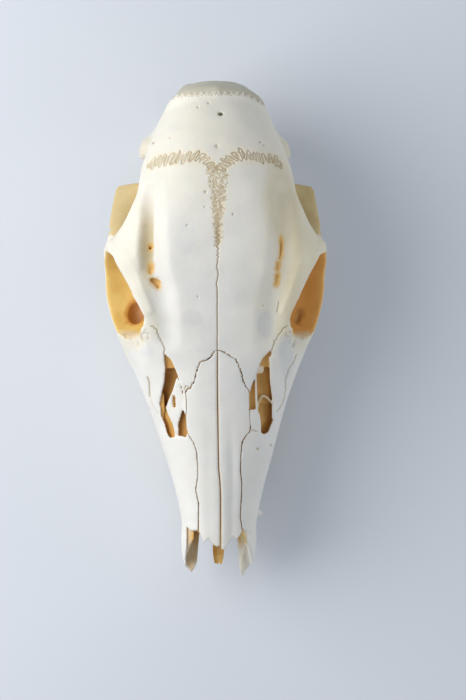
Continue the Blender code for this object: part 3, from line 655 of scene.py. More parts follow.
def cut_palate(field):
    front_reach = [(-130, 8.2), (-95, 9.0), (-75, 10.5), (-60, 12.6)]
    reach = curve(front_reach + [(-40, 15.5), (-10, 17.6), (20, 18)])
    top = curve([(-130, 24), (-90, 21.5), (-75, 19.4), (-60, 17.4), (20, 17.4)])
    vault = tube_along_y(reach, lambda y: top(y) - 2, lambda y: 2.0, FAR_FRONT, 30.0, 2.6)
    field.cut(vault, 2.0)
    notch = tube_along_y(
        curve([(-130, 10.4), (-112, 10.2), (-100, 9.2), (-92, 8.4)]),
        lambda y: 60.0,
        lambda y: 30.0,
        FAR_FRONT,
        -95.0,
        6.0,
    )
    field.cut(notch, 1.0)
    trough = [(13.0, -90, 38), (13.4, -102, 37), (13.6, -112, 32), (13.2, -122, 28)]
    field.cut(strut(trough, (3.0, 3.2, 2.8, 2.2), (0.9, 1.0, 1.5)), 1.0)
    tip_edge = [(8, -110), (12.0, SNOUT_TIP_Y), (16.2, -113.5), (19, -104), (24, -104)]
    field.cut(upright_prism(tip_edge + [(24, -132), (8, -132)], -10.0), 1.5)


def cut_nasal_opening(field):
    """The gap under the nasal bones, a little narrower than they are, so that a ledge is left."""

    def opening(x, y, z):
        beside = x - (nasal_edge(y) - LEDGE)
        return np.maximum(np.maximum(beside, mid_height(y) - z), y - NASAL_REAR_Y + LEDGE)

    field.cut(Shape(opening, (0, -130, 30), (20, NASAL_REAR_Y, 120)), 0.5)


def carve_roof(field):
    """The supraorbital groove, and the shallow lacrimal pit in front of the orbit."""
    groove = [(32.5, 60), (31.2, 48), (30.4, 36), (29.4, 26), (26.6, 16), (25.0, 6), (24.4, -5)]
    heights = [float(roof(x, y)) for x, y in groove]
    lifts = (6.2, 4.6, 3.2, 3.2, 3.6, 4.6, 5.8)
    line = [(x, y, h + lift) for (x, y), h, lift in zip(groove, heights, lifts)]
    field.cut(strut(line, [GROOVE_RADIUS] * len(line)), 4.0)
    field.cut(ellipsoid((40.5, -9, float(roof(36.5, -9)) + 3.6), (7, 9, 6)), 4.0)
    field.cut(strut([(30, -61, 33), (24, -52, 34), (18, -44, 35)], (2.6, 2.8, 2.8), (1, 1, 1.3)), 1.2)


def cut_ground(field):
    """Below the ground plane, so that the paroccipital processes end flat on it."""
    field.cut(everywhere(lambda x, y, z: z), 0.01)


def surface_plate(corners, depth, half_thickness):
    """A thin plate that follows the roof, depth below it, inside an outline in x and y."""
    corners = list(corners)

    def distance(x, y, z):
        side = polygon_distance(x, y, corners)
        return np.maximum(side, np.abs(z - (roof(x, y) - depth)) - half_thickness)

    xs, ys = zip(*corners)
    return Shape(distance, (min(xs), min(ys), 30.0), (max(xs), max(ys), 100.0))


def half_cranium(step):
    """The cranium's right half, with everything that both sides share."""
    field = Field(step)
    add_hull(field)
    cut_orbit_and_fossae(field)
    add_zygomatic_arch(field)
    add_braincase_base(field)
    add_pterygoids(field)
    cut_braincase(field)
    cut_nasal_cavity(field)
    add_turbinate(field)
    cut_palate(field)
    cut_nasal_opening(field)
    carve_roof(field)
    cut_lacrimal_foramina(field)
    cut_sockets(field)
    cut_ground(field)
    return field


def add_turbinate(field):
    """The scroll of thin bone inside the nose, which shows through the gaps beside the nasals."""
    scroll = [(9.5, -92, 45), (10.5, -70, 49), (13, -52, 53), (17, -36, 58), (18.5, -22, 63), (16, -6, 66)]
    field.add(strut(scroll, (2.6, 4.2, 5.0, 6.0, 6.6, 5.0), (0.9, 1.0, 1.25)), 1.5)
    root = [(14.5, -80, 46), (16, -62, 47), (21, -46, 49), (25, -30, 52), (26, -14, 56)]
    field.add(strut(root, (2.2, 2.4, 2.8, 3.2, 3.2), (1.0, 1.0, 0.6)), 1.5)


def cut_lacrimal_foramina(field):
    """The two lacrimal foramina in the front rim of the orbit."""
    field.cut(strut([(36, 0.5, 78), (33, -6, 74)], (1.1, 1.0)), 0.6)
    field.cut(strut([(38.5, -1.0, 71), (35, -7, 68)], (0.9, 0.8)), 0.5)


def cut_sockets(field):
    """The troughs that the tooth rows stand in."""
    stops = []
    y = TOOTH_ROW_FRONT_Y
    for _, length, breadth, _ in TEETH:
        stops.append((y + length / 2, breadth))
        y += length

    def distance(x, y, z):
        reach = np.interp(y, [s[0] for s in stops], [s[1] for s in stops]) / 2 * NECK_SHARE
        side = np.abs(x - tooth_line(y)) - reach - SOCKET_GAP
        ends = np.abs(y - row_middle) - row_half
        return np.maximum(np.maximum(side, ends), z - TOOTH_HEIGHT - SOCKET_GAP)

    total = sum(tooth[1] for tooth in TEETH)
    row_middle = TOOTH_ROW_FRONT_Y + total / 2
    row_half = total / 2 + SOCKET_GAP
    field.cut(Shape(distance, (8, -66, -5), (38, 16, 20)), 0.6)


def cut_vacuities(field):
    for outline in VACUITY.values():
        field.cut(upright_prism(outline, 50.0), 0.4)
    for corners, depth, half_thickness in VACUITY_PLATES:
        field.add(surface_plate(corners, depth, half_thickness), 0.6)
    field.cut(sunk_strut(((-20.1, -30.3, 1.0), (-20.2, -34.5, 1.0)), (0.75, 0.85)), 0.4)
    field.add(sunk_strut(CURL, CURL_RADII), 0.8)


def sunk_strut(points, radii):
    """A bar through points given as x, y and depth under the roof."""
    return strut([(x, y, float(roof(x, y)) - depth) for x, y, depth in points], radii)


def break_snout(field):
    """The broken front edges, seen from above: the left one shorter and open, the right one torn."""
    left = [(-8.6, -94.6), (-9.0, -98.3), (-9.4, -104.0), (-9.9, -109.0), (-11.2, -112.4)]
    left += [(-12.9, -115.2), (-14.4, -113.4), (-16.3, -111.5), (-17.4, -109.2), (-18.1, -103.5)]
    left += [(-18.3, -94.0), (-30.0, -92.0)]
    field.cut(upright_prism(left + [(-30.0, -135.0), (-0.5, -135.0), (-0.5, -97.0)], 12.0), 0.8)
    right = [(8.0, -95.4), (8.2, -101.0), (8.9, -108.2), (9.9, -113.8), (10.7, -117.4), (11.6, -117.6)]
    torn = row_function([
        (-117.3, 11.4), (-115.1, 12.8), (-111.7, 14.8), (-107, 16.9), (-102.1, 17.7), (-90, 18.0),
    ])
    for i, y in enumerate(np.arange(-116.6, -91.0, 0.8)):
        jag = (0.35 if i % 2 else -0.45) * (1 + 0.5 * math.sin(i * 1.7))
        right.append((float(torn(y)) + jag, float(y)))
    right += [(18.4, -88.0), (30.0, -86.0), (30.0, -135.0), (0.5, -135.0), (0.5, -97.0)]
    field.cut(upright_prism(right, 12.0), 0.5)
    field.add(ellipsoid((18.6, -85.6, 40.0), (1.7, 1.3, 3.0)), 0.8)


def trough_floor(x, y):
    """Height of the floor of the prongs' troughs."""
    return np.minimum(roof(x, y), break_height(y)) - np.interp(x, [-10, 8, 15.5], [3.6, 1.6, 0.5])


def open_troughs(field):
    for outline in PRONG_TROUGH.values():
        corners = list(outline)

        def distance(x, y, z, corners=corners):
            return np.maximum(polygon_distance(x, y, corners), 0.7 * (trough_floor(x, y) - z))

        field.cut(Shape(distance, (-17, -118, 24), (17, -90, 62)), 1.6)


def cut_nasal_seats(field):
    """The places of the two nasal bones, to their own outlines."""
    for side, outline in NASAL_OUTLINE.items():
        middle = -side * 0.5
        slack = 0.08 if side > 0 else 0.03
        corners = [(x + side * slack, y) for x, y in outline]
        corners += [(middle, -9.0), (middle, -130), (side * 10.1, -130)]

        def distance(x, y, z, corners=corners):
            side_gap = polygon_distance(x, y, corners)
            depth = 1.25 + (NASAL_THICKNESS - 0.95) * unit(-side_gap / 2.0)
            return np.maximum(side_gap, roof(x, y) - depth - z)

        field.cut(Shape(distance, (-17, -130, 30), (17, -8, 100)), 0.2)


def fill_brows(field):
    for corners in BROW_STRIP.values():
        field.add(surface_plate(corners, 2.2, 1.2), 3.5)


def shape_arches(field):
    """The squarish hind ends of the zygomatic arches."""
    for side in (-1, 1):
        plate = [(side * x, y) for x, y in ARCH_PLATE]
        outside = [(side * x, y) for x, y in ARCH_OUTSIDE]
        field.add(upright_prism(plate, 44.5, 49.5), 3.0)
        field.cut(upright_prism(outside, 20.0, 58.0), 1.2)
    field.cut(ARCH_CRACK, 0.4)


def open_brow(field):
    """The groove beside the frontal dome on the left, and the small openings on both sides."""
    field.cut(sunk_strut(BROW_GROOVE, BROW_GROOVE_RADII), 3.0)
    for points, radii in BROW_OPENINGS:
        field.cut(sunk_strut(points, radii), 0.5)
    field.cut(strut([(0.9, 96.4, 94), (1.6, 95.4, 90)], (1.0, 0.8), (1.3, 1, 1)), 0.4)
    field.cut(ORBIT_HOLE, 0.6)
    field.cut(ORBIT_SLIT, 0.4)


def whole_cranium(step):
    field = half_cranium(step)
    field.mirror()
    shape_arches(field)
    fill_brows(field)
    cut_vacuities(field)
    cut_nasal_seats(field)
    break_snout(field)
    open_troughs(field)
    open_brow(field)
    return field


def biggest_body(points, faces):
    """Keeps the largest connected piece of a surface."""
    label = np.arange(len(points))
    while True:
        low = label[faces].min(1)
        fresh = label.copy()
        for corner in faces.T:
            np.minimum.at(fresh, corner, low)
        fresh = fresh[fresh]
        if (fresh == label).all():
            break
        label = fresh
    names, sizes = np.unique(label, return_counts=True)
    kept = label == names[sizes.argmax()]
    place = np.cumsum(kept) - 1
    return points[kept], place[faces[kept[faces[:, 0]]]]


def mesh_from(name, points, faces):
    """A Blender mesh from point and triangle arrays, in millimetres."""
    faces = outward(points, faces)
    mesh = bpy.data.meshes.new(name)
    mesh.vertices.add(len(points))
    mesh.vertices.foreach_set("co", (points * MM).astype(np.float32).ravel())
    mesh.loops.add(faces.size)
    mesh.loops.foreach_set("vertex_index", faces.astype(np.int32).ravel())
    mesh.polygons.add(len(faces))
    mesh.polygons.foreach_set("loop_start", np.arange(0, faces.size, 3, dtype=np.int32))
    mesh.update(calc_edges=True)
    mesh.validate()
    return mesh


def arrays_from(mesh):
    """The points, in millimetres, and the triangles of a triangulated mesh."""
    points = np.empty(len(mesh.vertices) * 3, np.float32)
    mesh.vertices.foreach_get("co", points)
    faces = np.empty(len(mesh.loops), np.int32)
    mesh.loops.foreach_get("vertex_index", faces)
    return points.reshape(-1, 3).astype(float) / MM, faces.reshape(-1, 3).astype(np.int64)


def thinned(points, faces, count):
    """The surface with about count triangles, flat stretches thinned first."""
    mesh = mesh_from("thinned", points, faces)
    holder = bpy.data.objects.new("thinned", mesh)
    bpy.context.scene.collection.objects.link(holder)
    fewer = holder.modifiers.new("fewer", "DECIMATE")
    fewer.ratio = count / len(faces)
    fewer.use_collapse_triangulate = True
    ready = holder.evaluated_get(bpy.context.evaluated_depsgraph_get()).to_mesh()
    result = arrays_from(ready)
    holder.to_mesh_clear()
    bpy.data.objects.remove(holder)
    bpy.data.meshes.remove(mesh)
    return result


def refined(points, faces, wanted, longest, rounds=4):
    """Splits every edge that wanted(middles, lengths) marks and that is longer than longest."""
    for _ in range(rounds):
        edges = np.sort(faces[:, [[0, 1], [1, 2], [2, 0]]].reshape(-1, 2), axis=1)
        unique, back = np.unique(edges[:, 0] * len(points) + edges[:, 1], return_inverse=True)
        ends = np.stack([unique // len(points), unique % len(points)], 1)
        middles = points[ends].mean(1)
        length = np.linalg.norm(points[ends[:, 0]] - points[ends[:, 1]], axis=1)
        split = (length > longest) & wanted(middles, length)
        if not split.any():
            break
        fresh = np.where(split, len(points) + np.cumsum(split) - 1, -1)[back].reshape(-1, 3)
        points = np.concatenate([points, middles[split]])
        faces = split_faces(faces, fresh)
    return points, faces


def split_faces(faces, fresh):
    """Faces parted at the new points of their edges, where fresh is not -1."""
    marks = (fresh >= 0).sum(1)
    made = [faces[marks == 0]]
    for count in (1, 2, 3):
        f, n = faces[marks == count], fresh[marks == count]
        if count == 1:
            turn = (n >= 0).argmax(1)
        elif count == 2:
            turn = (n < 0).argmax(1)
        else:
            turn = np.zeros(len(f), int)
        order = (turn[:, None] + np.arange(3)) % 3
        a, b, c = np.take_along_axis(f, order, 1).T
        ab, bc, ca = np.take_along_axis(n, order, 1).T
        if count == 1:
            made += [np.stack([a, ab, c], 1), np.stack([ab, b, c], 1)]
        elif count == 2:
            made += [np.stack([a, b, bc], 1), np.stack([a, bc, ca], 1), np.stack([ca, bc, c], 1)]
        else:
            made += [np.stack([a, ab, ca], 1), np.stack([ab, b, bc], 1)]
            made += [np.stack([ca, bc, c], 1), np.stack([ab, bc, ca], 1)]
    return np.concatenate(made)


def point_normals(points, faces):
    a, b, c = points[faces].transpose(1, 0, 2)
    normal = np.cross(b - a, c - a)
    total = np.zeros_like(points)
    for corner in faces.T:
        np.add.at(total, corner, normal)
    return total / np.maximum(np.linalg.norm(total, axis=1, keepdims=True), 1e-9)


class ReliefMap:
    """Depth of carving and strength of stain over x and y, as two height maps in millimetres."""

    def __init__(self):
        self.x = np.arange(-MAP_WIDTH, MAP_WIDTH + MAP_STEP, MAP_STEP)
        self.y = np.arange(MAP_FRONT, MAP_REAR + MAP_STEP, MAP_STEP)
        self.depth = np.zeros((len(self.x), len(self.y)), np.float32)
        self.stain = np.zeros_like(self.depth)
        self.fine = np.zeros(self.depth.shape, bool)

    def window(self, low, high):
        xs = slice(*np.searchsorted(self.x, [low[0], high[0]]))
        ys = slice(*np.searchsorted(self.y, [low[1], high[1]]))
        return xs, ys, self.x[xs][:, None], self.y[ys][None, :]

    def stroke(self, points, width, depth, stain):
        """A groove along a line. Half width, depth and stain are one number or one per point."""
        points = np.asarray(points, float)
        width, depth, stain = (np.broadcast_to(v, len(points)) for v in (width, depth, stain))
        for i, (start, end) in enumerate(zip(points, points[1:])):
            reach = 3.0 * width[i] + 0.4
            low, high = np.minimum(start, end) - reach, np.maximum(start, end) + reach
            xs, ys, x, y = self.window(low, high)
            run = end - start
            share = ((x - start[0]) * run[0] + (y - start[1]) * run[1]) / max(run @ run, 1e-9)
            share = unit(share)
            gap = (x - start[0] - share * run[0]) ** 2 + (y - start[1] - share * run[1]) ** 2
            cut = np.exp(-gap / width[i] ** 2)
            self.depth[xs, ys] = np.maximum(self.depth[xs, ys], cut * depth[i])
            self.stain[xs, ys] = np.maximum(self.stain[xs, ys], cut * stain[i])
            self.fine[xs, ys] |= gap < (1.6 * width[i] + 0.35) ** 2

    def dot(self, x, y, radius, depth, stain):
        self.stroke([(x - 0.01, y), (x + 0.01, y)], radius, depth, stain)

    def widened(self, reach):
        """The places within about reach of a stroke."""
        wide = self.fine.copy()
        for _ in range(round(reach / MAP_STEP)):
            wide[1:] |= wide[:-1]
            wide[:-1] |= wide[1:]
            wide[:, 1:] |= wide[:, :-1]
            wide[:, :-1] |= wide[:, 1:]
        return wide

    def at(self, layer, x, y):
        i = np.clip((x - self.x[0]) / MAP_STEP, 0, len(self.x) - 1.001)
        j = np.clip((y - self.y[0]) / MAP_STEP, 0, len(self.y) - 1.001)
        i0, j0 = i.astype(int), j.astype(int)
        u, v = i - i0, j - j0
        near = layer[i0, j0] * (1 - v) + layer[i0, j0 + 1] * v
        far = layer[i0 + 1, j0] * (1 - v) + layer[i0 + 1, j0 + 1] * v
        return near * (1 - u) + far * u


def along(points, step):
    """Places every step along a line, their headings and their distance from its start."""
    points = np.asarray(points, float)
    lengths = np.concatenate([[0], np.cumsum(np.linalg.norm(np.diff(points, axis=0), axis=1))])
    far = np.arange(0, lengths[-1] + step / 2, step)
    places = np.stack([np.interp(far, lengths, column) for column in points.T], 1)
    soft = np.gradient(places, axis=0)
    return places, soft / np.linalg.norm(soft, axis=1, keepdims=True), far


def meander(line, pitch, reach, turn, rng, lean=0.0):
    """A suture: a line that swings from side to side in loops, as a river does.

    pitch is the length of one swing along the line, reach its half width at a share of the way,
    turn the widest angle in radians between a loop and the line, and lean how far its loops tilt
    along the line.
    """
    places, heading, far = along(line, 0.2)
    side = np.stack([-heading[:, 1], heading[:, 0]], 1)
    steps = 24
    swings = int(far[-1] / pitch)
    phase = np.arange(swings * steps) / steps
    wobble = rng.uniform(-1, 1, swings + 2)
    drift = np.interp(phase, np.arange(swings + 2), wobble)
    bearing = turn * np.cos(2 * math.pi * phase)
    ahead = np.cumsum(np.cos(bearing))
    ahead = ahead / ahead[-1] * far[-1]
    across = np.cumsum(np.sin(bearing))
    across = across - (across.max() + across.min()) / 2
    across = across / np.abs(across).max()
    size = 1 + 0.45 * np.interp(phase, np.arange(swings + 2), rng.uniform(-1, 1, swings + 2))
    across = across * size + 0.25 * drift
    share = ahead / far[-1]
    offset = across * reach(share)
    ahead = np.clip(ahead + lean * offset + 0.25 * pitch * drift, 0, far[-1])
    base = np.stack([np.interp(ahead, far, column) for column in places.T], 1)
    aside = np.stack([np.interp(ahead, far, column) for column in side.T], 1)
    return base + aside * offset[:, None]


def shaky(line, reach, step, rng):
    """A crack: the line with small random jogs."""
    places, heading, far = along(line, step)
    side = np.stack([-heading[:, 1], heading[:, 0]], 1)
    jog = rng.uniform(-reach, reach, len(far))
    jog[0] = jog[-1] = 0
    return places + side * jog[:, None]


def faded(count, low, high, span, rng):
    """A strength per point that wanders between low and high, over span points at a time."""
    knots = rng.uniform(low, high, count // span + 3)
    return np.interp(np.arange(count) / span, np.arange(len(knots)), knots)


def squiggle(x, y, length, rng):
    """A short curled stroke across the band between the frontal bones."""
    steps = 7
    heading = rng.uniform(-0.7, 0.7) + (math.pi if rng.uniform() < 0.5 else 0.0)
    turns = rng.uniform(-0.75, 0.75) + rng.uniform(-0.5, 0.5, steps)
    bearing = heading + np.cumsum(turns)
    run = length / steps
    return np.stack([x + np.cumsum(np.cos(bearing)) * run, y + np.cumsum(np.sin(bearing)) * run], 1)


def draw_sutures(relief, rng):
    left = [(-31.0, 72.6), (-28.6, 75.0), (-22.1, 76.1), (-16.8, 75.8), (-11.6, 76.4)]
    left += [(-7.2, 76.0), (-4.1, 73.6), (-1.9, 71.0), (-0.1, 70.0)]
    right = [(-0.1, 70.0), (2.1, 71.6), (4.3, 74.4), (7.8, 77.0), (11.4, 77.3), (15.9, 76.2)]
    right += [(20.4, 76.2), (25.1, 76.2), (29.4, 72.6)]
    swell = lambda share: 1.0 + 1.5 * np.sin(math.pi * unit(share * 1.02)) ** 0.5
    for line, lean in ((left, 0.5), (right, -0.35)):
        for pitch, size, strength in ((2.5, 1.0, 1.0), (1.9, 0.62, 0.75)):
            path = meander(line, pitch, lambda share: size * swell(share), 1.7, rng, lean)
            stain = faded(len(path), 0.45, 1.0, 14, rng) * strength
            relief.stroke(path, 0.22, 0.15 + 0.55 * stain, stain)
    half_band = row_function([(37, 0.5), (44, 0.9), (52, 1.7), (60, 2.8), (66, 3.7), (71, 4.2)])
    for y in np.arange(37.0, 71.5, 0.075):
        x = float(rng.uniform(-1, 1) * half_band(y)) - 0.1
        stain = rng.uniform(0.4, 0.9)
        relief.stroke(squiggle(x, float(y), rng.uniform(1.1, 2.3), rng), 0.15, 0.35 * stain, stain)
    bends = lambda share: np.interp(share, [0, 0.35, 0.7, 1], [1.1, 0.7, 0.45, 0.2])
    zigzag = meander([(-0.1, 46.0), (-0.1, 38.5), (0.0, 30.5)], 1.9, bends, 1.2, rng)
    relief.stroke(zigzag, 0.22, 0.6, faded(len(zigzag), 0.8, 1.0, 12, rng))
    wander = [(0.0, 30.5), (-0.5, 27.5), (0.3, 24.6), (-0.6, 20.5), (-0.2, 17.6)]
    relief.stroke(shaky(wander, 0.12, 1.1, rng), 0.22, 0.6, 1.0)
    relief.stroke(shaky([(-0.2, 17.6), (-0.1, 8), (0.1, 0), (0.0, -9.6)], 0.06, 1.4, rng), 0.24, 0.9, 1.0)
    rear = [(-23.0, 103.6), (-17.5, 105.4), (-8.6, 105.3), (0.3, 105.6), (9.3, 105.6)]
    rear += [(14.9, 105.0), (20.6, 102.6)]
    path = meander(rear, 1.5, lambda share: 0.6, 1.5, rng)
    relief.stroke(path, 0.18, 0.45, faded(len(path), 0.1, 0.4, 10, rng))


def draw_cracks(relief, rng):
    front_left = [(-29.6, 1.6), (-27.4, 0.4), (-25.2, -4.5), (-23.5, -8.6), (-24.0, -10.6)]
    front_right = [(31.6, 1.8), (29.3, 0.0), (26.2, -4.9), (24.9, -9.0), (24.6, -10.4)]
    for line in (front_left, front_right):
        relief.stroke(shaky(line, 0.45, 0.9, rng), 0.24, 0.6, 0.75)
    relief.stroke(shaky([(-31.8, -21.4), (-31.2, -25.0), (-31.3, -30.6)], 0.15, 1.2, rng), 0.3, 0.7, 0.9)
    relief.stroke(shaky([(-31.3, -30.6), (-29.8, -34.9), (-27.2, -38.5)], 0.2, 1.2, rng), 0.2, 0.3, 0.35)
    right = [(37.0, -11.2), (34.1, -16.3), (31.7, -21.4), (31.3, -30.3), (29.8, -34.9), (27.4, -37.4)]
    relief.stroke(shaky(right, 0.35, 1.0, rng), 0.24, 0.55, 0.6)
    lower = [(12.9, -41.5), (13.4, -43.8), (15.2, -45.4), (17.8, -46.4)]
    relief.stroke(shaky(lower, 0.5, 0.8, rng), 0.22, 0.5, 0.55)
    relief.stroke([(27.6, 12.6), (26.9, 8.0)], 0.25, 0.35, 0.5)
    for side, outline in NASAL_OUTLINE.items():
        edge = [(x + side * 0.08, y) for x, y in outline]
        straight = [p for p in edge if p[1] < -47]
        jagged = [p for p in edge if p[1] > -28.6]
        for line, reach, step in ((straight, 0.12, 1.5), (jagged, 0.42, 0.75)):
            path = shaky(line, reach, step, rng)
            low = 0.15 if side < 0 and line is straight else 0.6
            strength = faded(len(path), low, low + 0.4, 5, rng)
            relief.stroke(path, 0.22, 0.1 + 0.5 * strength, strength)
    relief.stroke(shaky([(-12.5, -26.2), (-14.6, -25.4), (-15.6, -27.4)], 0.3, 0.7, rng), 0.26, 0.5, 0.6)


def draw_pits(relief, rng):
    for x, y, radius, stain in PITS:
        relief.dot(x, y, radius, 0.7 * radius + 0.2, stain)
    for _ in range(70):
        y = rng.uniform(-88, 101)
        x = rng.uniform(-0.85, 0.85) * float(half_width(y))
        relief.dot(x, y, rng.uniform(0.14, 0.2), rng.uniform(0.04, 0.12), rng.uniform(0.08, 0.3))
    for _ in range(26):
        x, y = rng.uniform(-2.6, 2.6), rng.uniform(-100, -96)
        relief.dot(float(x), float(y), 0.25, 0.15, 0.2)
    for side in (-1, 1):
        for _ in range(34):
            x = side * rng.uniform(31.0, 45.0)
            y = rng.uniform(-4.6, 0.4)
            relief.dot(x, y, rng.uniform(0.25, 0.6), rng.uniform(0.2, 0.6), rng.uniform(0.1, 0.5))


def draw_relief():
    relief = ReliefMap()
    rng = np.random.default_rng(RELIEF_SEED)
    draw_sutures(relief, rng)
    draw_cracks(relief, rng)
    draw_pits(relief, rng)
    # These carve nothing, and only have the surface divided finely along the nasal bones
    for line in NASAL_OUTLINE.values():
        relief.stroke(line, 0.2, 0.0, 0.0)
    return relief


def lumps(points, size, seed):
    """Smooth random height between -1 and 1 over space, from a few crossed waves."""
    rng = np.random.default_rng(seed)
    total = np.zeros(len(points))
    for _ in range(9):
        direction = rng.normal(size=3)
        direction /= np.linalg.norm(direction)
        wave = 2 * math.pi / (size * rng.uniform(0.7, 1.6))
        total += np.sin(points @ direction * wave + rng.uniform(0, 2 * math.pi))
    return total / 4.5


def near_roof(z, height):
    """1 near the hull's roof, falling to 0 at SKIN_DEPTH under it."""
    return unit((z - height + SKIN_DEPTH) / SKIN_FADE)


def carve(points, normals, relief):
    """Presses the relief map and slight unevenness into the cranium."""
    x, y, z = points.T
    height = roof(x, y)
    outside = near_roof(z, height) * unit(normals[:, 2] * 4 - 0.6)
    depth = np.minimum(relief.at(relief.depth, x, y), DEEPEST_CARVING) * outside
    points = points - normals * depth[:, None]
    waves = WAVE_HEIGHT * lumps(points, WAVE_SIZE, CRANIUM_SEED) * outside
    return points + normals * waves[:, None]


def most(masks):
    """The strongest of some masks at each point."""
    return np.maximum.reduce(masks)


def near(shape, points, reach=0.9):
    """1 on the surface that a cut of this shape left, falling to 0 at 1.6 times reach."""
    gap = np.abs(shape.distance(*points.T))
    return unit(1.6 - gap / reach)


def region(x, y, middle, radii, soft=0.5):
    """1 inside an oval in x and y, falling to 0 over a share of its radii."""
    reach = np.sqrt(((x - middle[0]) / radii[0]) ** 2 + ((y - middle[1]) / radii[1]) ** 2)
    return unit((1 + soft - reach) / soft)


